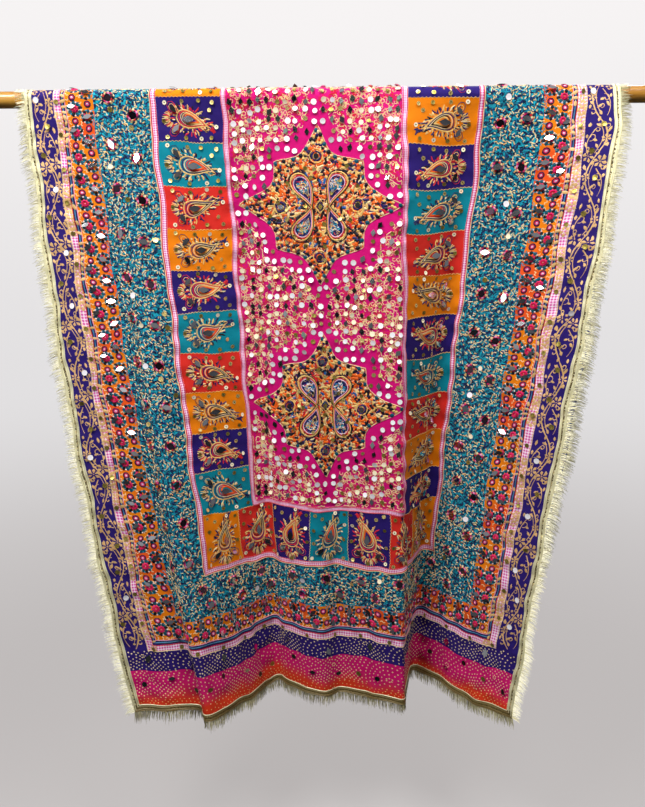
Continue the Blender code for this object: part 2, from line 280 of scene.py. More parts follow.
def grid_lines(stops, spots, near, fine):
    """Lines through every stop, about a coarse cell apart, and fine ones within near of each spot."""
    stops = sorted(set(round(stop, 5) for stop in stops))
    lines = [stops[0]]
    for low, high in zip(stops[:-1], stops[1:]):
        steps = np.linspace(low, high, GRID_SAMPLES)
        middles = (steps[1:] + steps[:-1]) / 2
        close = np.abs(middles[:, None] - np.array(spots)[None, :]).min(axis=1) < near
        density = np.where(close, 1 / fine, 1 / COARSE_CELL)
        total = np.concatenate([[0], np.cumsum(density * np.diff(steps))])
        count = max(1, math.ceil(total[-1] - CELL_SLACK))
        lines += list(np.interp(total[-1] * np.arange(1, count + 1) / count, total, steps))
    return np.array(lines)


def patch_lines(hand):
    """Seams between the patches of a side column, in w, from the back end to the front end."""
    first, pitch = PATCH_START[hand], PATCH_PITCH[hand]
    low, high = -ROWS["back"]["field_ribbon"][1], ROWS["front"]["field_ribbon"][1]
    lines = [low]
    step = math.ceil((low - first) / pitch)
    while first + step * pitch < high - pitch / 4:
        if first + step * pitch > low + pitch / 4:
            lines.append(first + step * pitch)
        step += 1
    return lines + [high]


def end_patch_lines():
    """Seams between the patches of an end row, in u."""
    return list(np.linspace(BANDS["patches_left"][0], BANDS["patches_right"][1], len(END_PATCHES) + 1))


def off_rod(w):
    """0 over the rod, and up to 1 a little below it."""
    return np.clip((np.abs(w) - BEND_LENGTH) / ROD_FADE, 0, 1)


def uneven(u, w):
    """Hand-cut pieces: the same places shifted by a few millimetres, and not at all over the rod."""
    aside = np.sin(31 * w + 7 * np.sin(9 * u) + 1.3) + 0.5 * np.sin(67 * w + 23 * u + 2 * np.sin(13 * w))
    along = np.sin(29 * u + 5 * np.sin(7 * w) + 0.4) + 0.5 * np.sin(61 * u + 17 * w + 2 * np.sin(19 * u))
    free = off_rod(w) * WOBBLE
    return u + aside * free, w + along * free


def pucker(away, along, shift, sway):
    """The small waves that a row of stitches draws up in the cloth beside it."""
    phase = 2 * math.pi * along / PUCKER_PITCH + shift + sway
    return PUCKER_HEIGHT * np.exp(-(away / PUCKER_REACH) ** 2) * np.sin(phase)


class Cloth:
    """The middle surface of the whole cloth as a grid over w and u, with its outward normals."""

    def __init__(self):
        seams = [edge for span in BANDS.values() for edge in span] + end_patch_lines() + list(STRIPE[:2])
        folds = [fold.start for side in FOLDS.values() for fold in side[1:]]
        self.u = grid_lines(seams, folds, FOLD_REACH, FOLD_CELL)
        rows = [0.0] + list(STRIPE[2:])
        for side, sign in SIGN.items():
            rows += [sign * edge for span in ROWS[side].values() for edge in span]
        for hand in PATCH_START:
            rows += patch_lines(hand)
        self.w = grid_lines(rows, [0.0], BEND_LENGTH, ROD_CELL)
        self.points = self.place()
        self.normals = self.outward()
        self.points = self.points + self.normals * self.crease_heights()[:, :, None]
        self.normals = self.outward()

    def place(self):
        """Grid points on the two falls and over the rod."""
        points = np.zeros((len(self.w), len(self.u), 3))
        u, w = uneven(*np.meshgrid(self.u, self.w))
        for side, sign in SIGN.items():
            on = (w >= 0) if sign > 0 else (w < 0)
            v = np.abs(w[on])
            s, across, table = fall_tables(side)
            at = read_table(table, between(np.maximum(v - BEND_LENGTH, 0), s), between(u[on], across))
            turned = v / BEND_RADIUS
            over = v < BEND_LENGTH
            at[:, 1] = np.where(over, -sign * BEND_RADIUS * np.sin(turned), at[:, 1])
            at[:, 2] = np.where(over, BEND_RADIUS * np.cos(turned), at[:, 2])
            points[on] = at
        return points

    def outward(self):
        """Unit normals that point away from the other fall."""
        along_w = np.gradient(self.points, self.w, axis=0)
        along_u = np.gradient(self.points, self.u, axis=1)
        normals = np.cross(along_w, along_u)
        return normals / np.linalg.norm(normals, axis=2, keepdims=True)

    def crease_heights(self):
        """Heights of the small creases, soft at both ends and across, and of the puckers at the seams."""
        u, w = np.meshgrid(self.u, self.w)
        heights = np.zeros(u.shape)
        for crease in CREASES:
            length = math.hypot(crease.across, crease.along)
            run = ((u - crease.u) * crease.across + (w - crease.w) * crease.along) / length
            aside = ((u - crease.u) * crease.along - (w - crease.w) * crease.across) / length
            from_hem = abs(crease.w) >= HEM_START
            start = np.where(run > -HEM_LEAD, 1, 0) if from_hem else np.clip(run / CREASE_END, 0, 1)
            ends = start * np.clip((length - run) / CREASE_END, 0, 1)
            heights += crease.height * ends ** 2 * (3 - 2 * ends) * np.exp(-(aside / crease.width * 2) ** 2)
        waves = np.zeros(u.shape)
        for number, (edge, _) in enumerate(list(BANDS.values())[1:]):
            waves += pucker(u - edge, w, 1.7 * number, 2.2 * np.sin(w * 9 + number))
        for side, sign in SIGN.items():
            for number, (edge, _) in enumerate(list(ROWS[side].values())[:PUCKERED_ROWS]):
                waves += pucker(w - sign * edge, u, 2.3 * number, 2.0 * np.sin(u * 11 + number))
        return (heights + waves) * off_rod(w)

    def read(self, u, w):
        """Points, outward normals and across directions of the surface."""
        rows, columns = between(w, self.w), between(u, self.u)
        point = read_table(self.points, rows, columns)
        inside = (rows[0], np.clip(rows[1], 0, 1)), (columns[0], np.clip(columns[1], 0, 1))
        normal = read_table(self.normals, *inside)
        normal = normal / np.linalg.norm(normal, axis=-1, keepdims=True)
        i, j = rows[0], columns[0]
        across = self.points[i, j + 1] - self.points[i, j]
        across = across - normal * (across * normal).sum(axis=-1, keepdims=True)
        return point, normal, across / np.linalg.norm(across, axis=-1, keepdims=True)

    def lay(self, places, height):
        """Points at a height above the middle surface, for places of u and w."""
        point, normal, _ = self.read(places[..., 0], places[..., 1])
        return point + normal * height[..., None]


cloth = Cloth()


# Materials

MAGENTA = (212, 6, 116)
NAVY = (40, 22, 106)
ORANGE = (236, 128, 0)
CREAM = (240, 214, 158)

# How fine the cotton is woven, and how deep its weave shows
COTTON = (0.0009, 0.00025)
# Light that a shaded place of cloth or thread keeps
CLOTH_SHADE = (0.25, 0.22, 0.28, 1.0)
THREAD_SHADE = (0.3, 0.28, 0.25, 1.0)


def linear(color):
    """A colour of the screen as light, with its opacity."""
    channels = [channel / 255 for channel in color]
    return (*(c / 12.92 if c <= 0.04045 else ((c + 0.055) / 1.055) ** 2.4 for c in channels), 1.0)


class Nodes:
    """Makes the nodes of one tree. Its helpers return sockets."""

    def __init__(self, tree):
        self.tree = tree

    def set(self, node, name, value):
        """Gives an input a constant or links a socket to it."""
        socket = node.inputs[name]
        if isinstance(value, bpy.types.NodeSocket):
            self.tree.links.new(value, socket)
        else:
            socket.default_value = value

    def node(self, kind, inputs=(), **settings):
        """A node with its settings and inputs."""
        made = self.tree.nodes.new("ShaderNode" + kind)
        for name, value in settings.items():
            setattr(made, name, value)
        for name, value in dict(inputs).items():
            self.set(made, name, value)
        return made

    def math(self, operation, first, second=0.0, third=0.0):
        """One sum."""
        return self.node("Math", {0: first, 1: second, 2: third}, operation=operation).outputs[0]

    def mix(self, share, first, second, **settings):
        """A colour between two colours. One with four parts is light already."""
        made = self.node("Mix", {"Factor": share}, data_type="RGBA", **settings)
        for place, value in ((6, first), (7, second)):
            self.set(made, place, linear(value) if isinstance(value, tuple) and len(value) == 3 else value)
        return made.outputs[2]

    def noise(self, scale, detail, vector):
        """Soft noise from 0 to 1."""
        return self.node("TexNoise", {"Vector": vector, "Scale": scale, "Detail": detail}).outputs[0]

    def ramp(self, value, low, high):
        """Runs from 0 to 1 while value runs from low to high."""
        inputs = {"Value": value, "From Min": low, "From Max": high}
        return self.node("MapRange", inputs, interpolation_type="SMOOTHSTEP").outputs[0]

    def parts(self, vector):
        """The three parts of a vector."""
        return self.node("SeparateXYZ", {0: vector}).outputs

    def place(self):
        """The place on the object."""
        return self.node("TexCoord").outputs["Object"]


class Shader(Nodes):
    """A node material under construction."""

    def __init__(self, name, color, roughness, metallic=0.0, sheen=0.0):
        self.material = bpy.data.materials.new(name)
        self.material.use_nodes = True
        super().__init__(self.material.node_tree)
        self.shader = self.tree.nodes["Principled BSDF"]
        self.color = color
        self.finish("Base Color", linear(color))
        self.finish("Roughness", roughness)
        self.finish("Metallic", metallic)
        self.finish("Sheen Weight", sheen)
        self.finish("Specular IOR Level", 0.5 if metallic or roughness < 0.4 else 0.14)

    def finish(self, name, value):
        """Sets one input of the shader itself."""
        self.set(self.shader, name, value)

    def flat(self, scale=1.0, shift=(0.0, 0.0)):
        """The flat place on the cloth in metres, scaled."""
        uv = self.node("UVMap", uv_map="Flat").outputs[0]
        inputs = {"Vector": uv, "Location": (*shift, 0), "Scale": (scale, scale, scale)}
        return self.node("Mapping", inputs).outputs[0]

    def wave(self, value, pitch):
        """A cosine of a length, from 0 to 1, that repeats at the pitch."""
        turned = self.math("COSINE", self.math("MULTIPLY", value, 2 * math.pi / pitch))
        return self.math("MULTIPLY_ADD", turned, 0.5, 0.5)

    def dashes(self, cells, long, wide, shift):
        """Short stitches at every angle, one in each cell of a random net: 1 on a stitch, 0 off it."""
        place = self.flat(cells, shift)
        net = self.node("TexVoronoi", {"Vector": place, "Scale": 1.0}, voronoi_dimensions="2D")
        away = self.node("VectorMath", {0: place, 1: net.outputs["Position"]}, operation="SUBTRACT")
        angle = self.math("MULTIPLY", self.parts(net.outputs["Color"])[0], 2 * math.pi)
        inputs = {"Vector": away.outputs[0], "Angle": angle}
        turned = self.node("VectorRotate", inputs, rotation_type="Z_AXIS")
        x, y, _ = self.parts(turned.outputs[0])
        inside = self.math("LESS_THAN", self.math("ABSOLUTE", x), long)
        return self.math("MULTIPLY", inside, self.math("LESS_THAN", self.math("ABSOLUTE", y), wide))

    def bump(self, height, strength, distance):
        """Raises the surface a little."""
        inputs = {"Height": height, "Strength": strength, "Distance": distance}
        self.finish("Normal", self.node("Bump", inputs).outputs[0])

    def weave(self, pitch, depth, extra=None):
        """Plain weave as bump, with an extra height if given."""
        x, y, _ = self.parts(self.flat())
        threads = self.math("MULTIPLY", self.wave(x, pitch), self.wave(y, pitch))
        threads = self.math("MULTIPLY_ADD", self.noise(60.0, 3.0, self.flat()), 6.0, threads)
        if extra is not None:
            threads = self.math("MULTIPLY_ADD", extra, 2.0, threads)
        self.bump(threads, 0.6, depth)

    def shade(self, color=None, spread=0.25, scale=30.0):
        """Varies the colour a little: broad patches and fine threads."""
        share = self.math("MULTIPLY", self.noise(scale, 4.0, self.flat()), spread)
        color = self.color if color is None else color
        self.finish("Base Color", self.mix(share, color, CLOTH_SHADE, blend_type="MULTIPLY"))


def plain_cloth(name, color, drift=None):
    """Plain woven cotton, whose dye drifts to a second colour if one is given."""
    shader = Shader(name, color, 0.75, sheen=0.02)
    if drift:
        share = shader.ramp(shader.noise(9.0, 1.0, shader.flat()), 0.46, 0.60)
        color = shader.mix(share, color, drift)
    shader.shade(color)
    shader.weave(*COTTON)
    return shader.material


def metal_cloth(name, color):
    """Woven metallic tape."""
    shader = Shader(name, color, 0.42, 0.35)
    shader.shade(spread=0.35, scale=120.0)
    shader.weave(0.0012, 0.0004)
    return shader.material


def reverse_cloth():
    """The pale bluish reverse of the cloth, with the stitches showing through."""
    color = (70, 84, 150)
    shader = Shader("reverse", color, 0.85, sheen=0.2)
    for shift, tint in (((0.3, 0.1), (150, 150, 190)), ((0.7, 0.5), (40, 44, 104))):
        color = shader.mix(shader.dashes(150.0, 0.34, 0.10, shift), color, tint)
    shader.shade(color)
    shader.weave(0.0011, 0.0003)
    return shader.material


def dashed_cloth(name, ground, tints, cells):
    """Cloth covered with short stitches. tints are the threads' colours, the last on top."""
    shader = Shader(name, ground, 0.7, sheen=0.05)
    color = ground
    raised = None
    for number, tint in enumerate(tints):
        mask = shader.dashes(cells, 0.42, 0.17, (0.37 * number, 0.61 * number))
        color = shader.mix(mask, color, tint)
        raised = mask if raised is None else shader.math("MAXIMUM", raised, mask)
    shader.shade(color, spread=0.2)
    shader.weave(0.0009, 0.0003, raised)
    return shader.material


def dyed_cloth(name):
    """The cotton across the ends: magenta that runs unevenly into red towards the hem."""
    shader = Shader(name, MAGENTA, 0.75, sheen=0.02)
    w = shader.parts(shader.flat())[1]
    front = shader.math("SUBTRACT", LENGTH["front"], w)
    back = shader.math("ADD", LENGTH["back"], w)
    rough = shader.noise(8.0, 2.0, shader.flat())
    height = shader.math("MULTIPLY_ADD", rough, 0.084, shader.math("MINIMUM", front, back))
    shader.shade(shader.mix(shader.ramp(height, 0.062, 0.100), (230, 60, 28), (216, 14, 112)), 0.35)
    shader.weave(*COTTON)
    return shader.material


def checked_cloth(name, color, pitch):
    """Ribbon with small white checks."""
    shader = Shader(name, color, 0.7, sheen=0.06)
    x, y, _ = shader.parts(shader.flat())
    checks = shader.math("ADD", shader.wave(x, pitch), shader.wave(y, pitch))
    shader.shade(shader.mix(shader.ramp(checks, 0.75, 1.15), color, (246, 218, 236)), spread=0.15)
    shader.weave(*COTTON)
    return shader.material


def thread(name, color, roughness=0.45, metallic=0.0):
    """Embroidery thread or print, with a little sheen and fine twists."""
    shader = Shader(name, color, roughness, metallic, sheen=0.1)
    place = shader.place()
    share = shader.math("MULTIPLY", shader.noise(260.0, 3.0, place), 0.35)
    shader.finish("Base Color", shader.mix(share, color, THREAD_SHADE, blend_type="MULTIPLY"))
    shader.bump(shader.noise(1400.0, 2.0, place), 0.35, 0.0003)
    return shader.material


def metal(name, color, roughness, metallic=1.0):
    """A sequin or a mirror: bright metal with faint wear."""
    shader = Shader(name, color, roughness, metallic)
    worn = shader.ramp(shader.noise(900.0, 2.0, shader.place()), 0.35, 0.75)
    inputs = {"Value": worn, "To Min": roughness * 0.6, "To Max": roughness * 1.8}
    shader.finish("Roughness", shader.node("MapRange", inputs).outputs[0])
    return shader.material


STITCH_BLUES = ((26, 40, 112), (10, 168, 190), (8, 28, 66))
CLOTHS = {
    "reverse": reverse_cloth(),
    "magenta": plain_cloth("magenta", MAGENTA),
    "navy": plain_cloth("navy", NAVY),
    "teal": plain_cloth("teal", (0, 132, 150)),
    "orange": plain_cloth("orange", ORANGE),
    "red_orange": plain_cloth("red_orange", ORANGE, (232, 84, 22)),
    "red": plain_cloth("red", (220, 44, 34)),
    "teal_dashes": dashed_cloth("teal_dashes", (0, 118, 138), STITCH_BLUES, 118.0),
    "dyed_end": dyed_cloth("dyed_end"),
    "pink_checks": checked_cloth("pink_checks", (216, 84, 164), 0.0056),
    "inner_checks": checked_cloth("inner_checks", (214, 100, 168), 0.0044),
    "fine_checks": checked_cloth("fine_checks", (226, 110, 176), 0.0030),
    "tape": metal_cloth("tape", (234, 226, 184)),
    # Painted shade: the tape across the hems is coloured dark olive for the shade the hem lies in
    "hem_tape": metal_cloth("hem_tape", (126, 108, 60)),
}


# Meshes

def build_mesh(name, points, faces, materials, finish, smooth=True):
    """A mesh object. Each array in faces has its own number of corners, and finish numbers the materials."""
    mesh = bpy.data.meshes.new(name)
    corners = np.concatenate([face.ravel() for face in faces])
    sizes = np.concatenate([np.full(len(face), face.shape[1]) for face in faces])
    starts = np.concatenate([[0], np.cumsum(sizes)[:-1]])
    mesh.vertices.add(len(points))
    mesh.vertices.foreach_set("co", np.asarray(points, np.float32).ravel())
    mesh.loops.add(len(corners))
    mesh.loops.foreach_set("vertex_index", corners.astype(np.int32))
    mesh.polygons.add(len(sizes))
    mesh.polygons.foreach_set("loop_start", starts.astype(np.int32))
    mesh.polygons.foreach_set("material_index", np.asarray(finish, np.int32))
    mesh.polygons.foreach_set("use_smooth", np.full(len(sizes), smooth))
    mesh.update(calc_edges=True)
    for material in materials:
        mesh.materials.append(material)
    made = bpy.data.objects.new(name, mesh)
    bpy.context.scene.collection.objects.link(made)
    return made


def corner_map(made, name, places):
    """A UV map from a place for each corner."""
    layer = made.data.uv_layers.new(name=name)
    layer.data.foreach_set("uv", np.asarray(places, np.float32).ravel())


def cloth_piece(name, boxes, hole, materials, lift=0.0, finish_of=None):
    """A thin shell over the rectangles in boxes, less the hole, with the reverse cloth on its inner side."""
    u, w = cloth.u, cloth.w
    centre_u, centre_w = np.meshgrid((u[1:] + u[:-1]) / 2, (w[1:] + w[:-1]) / 2)
    kept = np.zeros(centre_u.shape, bool)
    for box in boxes:
        kept |= in_box(box, centre_u, centre_w)
    if hole:
        kept &= ~in_box(hole, centre_u, centre_w)
    i, j = np.nonzero(kept)
    width = len(u)
    ring = np.stack([i * width + j, (i + 1) * width + j, (i + 1) * width + j + 1, i * width + j + 1], axis=1)
    used, numbers = np.unique(ring, return_inverse=True)
    numbers = numbers.reshape(ring.shape)
    middle = cloth.points.reshape(-1, 3)[used]
    normal = cloth.normals.reshape(-1, 3)[used]
    points = np.concatenate([middle + normal * (CLOTH_HALF + lift), middle - normal * CLOTH_HALF])
    count = len(used)
    rims = []
    padded = np.pad(kept, 1)
    for step_i, step_j, first, second in ((0, -1, 0, 1), (1, 0, 1, 2), (0, 1, 2, 3), (-1, 0, 3, 0)):
        open_side = ~padded[i + 1 + step_i, j + 1 + step_j]
        a, b = numbers[open_side, first], numbers[open_side, second]
        rims.append(np.stack([b, a, a + count, b + count], axis=1))
    # The rim has corners of its own, so that the faces beside it aren't shaded as if they bent into it
    edge, rim = np.unique(np.concatenate(rims), return_inverse=True)
    rim = rim.reshape(-1, 4) + 2 * count
    points = np.concatenate([points, points[edge]])
    faces = np.concatenate([numbers, numbers[:, ::-1] + count, rim])
    outer = finish_of(centre_u[kept], centre_w[kept]) if finish_of else np.zeros(len(i), int)
    finish = np.concatenate([outer, np.full(len(i), len(materials)), np.zeros(len(rim), int)])
    made = build_mesh(name, points, [faces], [CLOTHS[key] for key in (*materials, "reverse")], finish)
    flat = np.stack([u[used % width], w[used // width]], axis=1)
    flat = np.concatenate([flat, flat])
    flat = np.concatenate([flat, flat[edge]])[faces.ravel()]
    corner_map(made, "Flat", flat)
    # The outer side takes one half of this map and the inner side the other
    low, high = flat.min(axis=0), flat.max(axis=0)
    share = (flat - low) / (high - low)
    share[:, 0] = 0.01 + share[:, 0] * 0.48
    share[4 * len(i):8 * len(i), 0] += 0.5
    corner_map(made, "OFBake", share)
    return made


def patch_list():
    """Every patch as (left, right, low, high, colour, way), where way is the angle of its motif."""
    found = []
    for hand, way in (("left", -90), ("right", 90)):
        colors = SIDE_PATCHES[hand]
        lines = patch_lines(hand)[::-1]
        for number, (high, low) in enumerate(zip(lines[:-1], lines[1:])):
            found.append((*BANDS[f"patches_{hand}"], low, high, colors[number % len(colors)], way))
    lines = end_patch_lines()
    for side, way in (("front", 0), ("back", 180)):
        low, high = sorted(SIGN[side] * edge for edge in ROWS[side]["patches"])
        for number, color in enumerate(END_PATCHES):
            found.append((lines[number], lines[number + 1], low, high, color, way))
    return found


PATCHES = patch_list()


def patch_finish(u, w):
    """The number of each place's patch colour."""
    finish = np.zeros(len(u), int)
    for *box, color, _ in PATCHES:
        finish[in_box(box, u, w)] = PATCH_COLORS.index(color)
    return finish


def pink_finish(u, w):
    """Checked ribbon outside, dark stripe inside."""
    return in_box(STRIPE, u, w).astype(int)


def tape_finish(_, w):
    """Bright tape up the sides, and across both hems tape painted darker olive: painted shade."""
    return ((w < INSIDE_TAPE[2]) | (w > INSIDE_TAPE[3])).astype(int)


def both_sides(*names):
    """Node names on the front and on the back fall, where some bands are in several lengths."""
    endings = ("", "_over", "_upper", "_lower")
    wanted = [f"{side}_{name}{ending}" for side in SIGN for name in names for ending in endings]
    return [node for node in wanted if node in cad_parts]


def add_sheet(made, nodes):
    """Sets a cloth piece on the cloth's body and hides the model's parts that it stands for."""
    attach(made, "root")
    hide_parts(*nodes)


def ring_piece(name, band, outer, hole, materials, lift=0.0, finish_of=None):
    """A cloth piece all round its hole, on the nodes of its band."""
    made = cloth_piece(name, [outer], hole, materials, lift, finish_of)
    nodes = both_sides(band, f"{band}_left", f"{band}_right", f"{band}_end")
    add_sheet(made, nodes)


def make_cloth():
    """Every sewn piece of the cloth, from the field outwards."""
    made = cloth_piece("field", [FIELD], None, ["magenta"])
    add_sheet(made, both_sides("field"))
    hole = FIELD
    for name, band, materials, slot, width, lift, finish_of in (
        ("field_ribbon", "field_ribbon", ["fine_checks"], "pink_ribbon", 0.010, RIBBON_LIFT, None),
        ("patches", "patches", PATCH_COLORS, "patch_cloth", 0.125, 0.0, patch_finish),
        ("inner_ribbon", "inner_ribbon", ["inner_checks"], "pink_ribbon", 0.012, RIBBON_LIFT, None),
        ("teal_border", "teal", ["teal_dashes"], "teal_cloth", 0.105, 0.0, None),
        ("orange_border", "orange", ["red_orange"], "orange_cloth", 0.052, 0.0, None),
        ("pink_border", "pink", ["pink_checks", "navy"], "pink_ribbon", 0.024, 0.0, pink_finish),
    ):
        ring_piece(name, band, box_of(band), hole, materials, lift, finish_of)
        hole = box_of(band)
    columns = [(*BANDS[f"navy_{hand}"], *box_of("pink")[2:]) for hand in ("left", "right")]
    made = cloth_piece("navy_border", columns, None, ["navy"])
    add_sheet(made, both_sides("navy_left", "navy_right"))
    for name, row, finish, node, slot in (
        ("navy_ends", "navy_dots", "navy", "navy_end", "navy_cloth"),
        ("magenta_ends", "magenta_dots", "dyed_end", "magenta_end", "magenta_cloth"),
        ("red_edges", "red_edge", "dyed_end", "red_edge", "red_cloth"),
    ):
        front, back = ROWS["front"][row], ROWS["back"][row]
        strips = [(*INSIDE_TAPE[:2], *front), (*INSIDE_TAPE[:2], -back[1], -back[0])]
        made = cloth_piece(name, strips, None, [finish])
        add_sheet(made, both_sides(node))
    ring_piece("tape", "tape", WHOLE, INSIDE_TAPE, ["tape", "hem_tape"],
               RIBBON_LIFT, tape_finish)


make_cloth()


# Raised work

THREADS = {
    "gold": (234, 190, 110), "cream": CREAM, "white": (240, 226, 226), "navy": (32, 26, 92),
    "black": (24, 18, 30), "teal": (14, 150, 176), "dark_teal": (6, 78, 98), "orange": (242, 100, 14),
    "red": (214, 34, 46),
    "magenta": (216, 20, 96), "pink": (236, 150, 196), "plum": (88, 14, 66), "dark_plum": (52, 14, 58),
    "lilac": (238, 206, 230), "blue": (72, 138, 184), "olive": (88, 74, 30), "ink": (10, 26, 62),
    "bright_blue": (30, 96, 168),
}
FINISHES = {name: thread(f"{name}_thread", color) for name, color in THREADS.items()}
for name, color, roughness, metallic in (
    ("gold_print", (224, 178, 112), 0.5, 0.15),
    ("tape_thread", (236, 230, 184), 0.4, 0.15),
    ("hem_thread", (134, 114, 62), 0.45, 0.15),
    ("fringe_thread", (246, 242, 216), 0.5, 0.0),
    ("fringe_dark", (206, 198, 156), 0.5, 0.0),
    # Painted shade: the fringe at the hems is coloured darker than at the sides, since the fringe throws no
    # shadow
    ("hem_fringe", (186, 178, 138), 0.55, 0.0),
    ("hem_fringe_dark", (116, 108, 76), 0.55, 0.0),
):
    FINISHES[name] = thread(name, color, roughness, metallic)
for name, color, roughness, metallic in (
    ("cream_sequin", (250, 236, 202), 0.34, 0.0),
    ("white_sequin", (240, 236, 240), 0.34, 0.0),
    ("mirror", (236, 238, 240), 0.07, 1.0),
    ("dull_gold", (160, 142, 66), 0.30, 0.7),
    ("bright_gold", (246, 222, 140), 0.25, 0.7),
    # Painted reflection: a copy of the mirror coloured dark, for mirrors that reflect dark surroundings
    ("mirror_painted_dark", (88, 98, 92), 0.28, 1.0),
    ("plum_mirror", (196, 158, 178), 0.08, 1.0),
):
    FINISHES[name] = metal(name, color, roughness, metallic)


def circle(radius, sides, start=0.0, sweep=2 * math.pi):
    """Points round a circle, counterclockwise, with the last on the first for a whole turn."""
    turns = start + sweep * np.arange(sides + 1) / sides
    return radius * np.stack([np.cos(turns), np.sin(turns)], axis=1)


def disc(radius, sides):
    """The outline of a small round."""
    return circle(radius, sides)[:-1]


def teardrop(half_width, half_height, bend, corners):
    """Closed outline of a paisley: round below, its tip above and bent sideways."""
    turns = 2 * math.pi * np.arange(corners + 1) / corners
    b = half_height * np.cos(turns)
    a = -half_width * np.sin(turns) * np.sin(turns / 2) ** 1.5 * 1.25
    rise = (b + half_height) / (2 * half_height)
    return np.stack([a + bend * rise ** 3, b], axis=1)


def spots_at(u, w, turn=0.0, scale=1.0, flip=1.0):
    """Rows of u, w, turn, scale and flip."""
    return np.stack(np.broadcast_arrays(u, w, turn, scale, flip), axis=-1).astype(float).reshape(-1, 5)


def set_down(path, spots):
    """A local path (corners, 2) at every spot, as places (spots, corners, 2) in u and w."""
    a = path[None, :, 0] * spots[:, 3:4] * spots[:, 4:5]
    b = path[None, :, 1] * spots[:, 3:4]
    cos, sin = np.cos(spots[:, 2:3]), np.sin(spots[:, 2:3])
    return np.stack([spots[:, 0:1] + a * cos - b * sin, spots[:, 1:2] - a * sin - b * cos], axis=-1)


def moved(spots, a, b):
    """The same spots shifted by a and b in their own frames."""
    found = spots.copy()
    found[:, :2] = set_down(np.array([[a, b]]), spots)[:, 0]
    return found


def strip_faces(count):
    """Faces of a roof-shaped strip whose corners come in threes: left, ridge and right."""
    faces = []
    for k in range(count - 1):
        left, ridge, right = 3 * k, 3 * k + 1, 3 * k + 2
        faces += [(right, right + 3, ridge + 3), (right, ridge + 3, ridge)]
        faces += [(ridge, ridge + 3, left + 3), (ridge, left + 3, left)]
    return np.array(faces)


def fan_faces(count):
    """Faces of a fan from corner 0 round corners 1 to count."""
    return np.array([(0, k + 1, (k + 1) % count + 1) for k in range(count)])


# More than any distance on the cloth, in metres or as a share of a medallion
FAR = 9.0
# How far a clear mirror leans back towards the sky, as a slope
MIRROR_RISE = 0.13
# How far a stroke's edges dip below its base, as a share of its height
STROKE_EDGE = -0.1


class Work:
    """Stitches, prints, sequins and mirrors gathered into one mesh on the cloth."""

    def __init__(self, name, slot, base=CLOTH_HALF):
        self.name, self.slot, self.base = name, slot, base
        self.points, self.faces, self.finish, self.names = [], [], [], []
        self.count = 0

    def add(self, points, faces, finish):
        """Adds like shapes: points is (shapes, corners, 3), and faces number the corners of one of them."""
        shapes, corners = points.shape[:2]
        start = self.count + np.arange(shapes)[:, None, None] * corners
        if finish not in self.names:
            self.names.append(finish)
        self.faces.append((faces[None] + start).reshape(-1, 3))
        self.points.append(points.reshape(-1, 3))
        self.finish.append(np.full(shapes * len(faces), self.names.index(finish)))
        self.count += shapes * corners

    def strokes(self, paths, width, height, finish, level=0.0):
        """Raised lines along paths (shapes, corners, 2) of u and w."""
        shapes, corners = paths.shape[:2]
        tangent = np.gradient(paths, axis=1)
        tangent /= np.linalg.norm(tangent, axis=2, keepdims=True) + 1e-12
        aside = np.stack([tangent[..., 1], -tangent[..., 0]], axis=-1)
        half = np.broadcast_to(np.asarray(width, float) / 2, (shapes, corners))[..., None]
        rows = np.stack([paths + aside * half, paths, paths - aside * half], axis=2)
        rise = np.array([STROKE_EDGE, 1.0, STROKE_EDGE]) * height
        points = cloth.lay(rows, self.base + level + np.broadcast_to(rise, rows.shape[:3]))
        self.add(points.reshape(shapes, corners * 3, 3), strip_faces(corners), finish)

    def lines(self, path, spots, width, height, finish, level=0.0):
        """A raised line along a local path at every spot."""
        self.strokes(set_down(path, spots), width, height, finish, level)

    def dashes(self, places, turn, length, width, height, finish):
        """Short straight stitches."""
        reach = np.stack([np.cos(turn), -np.sin(turn)], axis=-1) * np.asarray(length)[..., None] / 2
        self.strokes(np.stack([places - reach, places + reach], axis=1), width, height, finish)

    def blobs(self, outline, spots, height, finish, level=0.0):
        """Low domes with a local outline that doesn't repeat its first point."""
        places = set_down(np.concatenate([outline.mean(axis=0)[None], outline]), spots)
        flipped = spots[:, 4] < 0
        places[flipped, 1:] = places[flipped, :0:-1]
        rise = np.array([height] + [0.0] * len(outline))
        points = cloth.lay(places, self.base + level + np.broadcast_to(rise, places.shape[:2]))
        self.add(points, fan_faces(len(outline)), finish)

    def plates(self, outline, spots, finish, lean, level, dish, seed):
        """Stiff flat plates, such as mirrors and sequins, each leaning its own way, and mirrors back."""
        back = MIRROR_RISE * (finish == "mirror")
        tilt = np.random.default_rng(seed).normal(0, lean, (len(spots), 2))
        point, normal, across = cloth.read(spots[:, 0], spots[:, 1])
        above = np.cross(normal, across)
        facing = normal + across * tilt[:, :1] + above * tilt[:, 1:]
        facing[:, 2] += back
        facing /= np.linalg.norm(facing, axis=1, keepdims=True)
        first = across - facing * (across * facing).sum(axis=1, keepdims=True)
        first /= np.linalg.norm(first, axis=1, keepdims=True)
        second = np.cross(facing, first)
        cos, sin = np.cos(spots[:, 2:3]), np.sin(spots[:, 2:3])
        a, b = outline[None, :, 0] * spots[:, 3:4], outline[None, :, 1] * spots[:, 3:4]
        a, b = a * cos - b * sin, a * sin + b * cos
        reach = np.abs(outline).max() * spots[:, 3] * (np.linalg.norm(tilt, axis=1) + back)
        centre = point + normal * (self.base + level + reach)[:, None]
        rim = centre[:, None] + first[:, None] * a[..., None] + second[:, None] * b[..., None]
        points = np.concatenate([(centre - facing * dish)[:, None], rim], axis=1)
        self.add(points, fan_faces(len(outline)), finish)

    def finished(self):
        """Makes the object and sets it on the cloth's body."""
        faces, finish = [np.concatenate(self.faces)], np.concatenate(self.finish)
        materials = [FINISHES[key] for key in self.names]
        made = build_mesh(self.name, np.concatenate(self.points), faces, materials, finish, smooth=False)
        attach(made, "root")
        return made


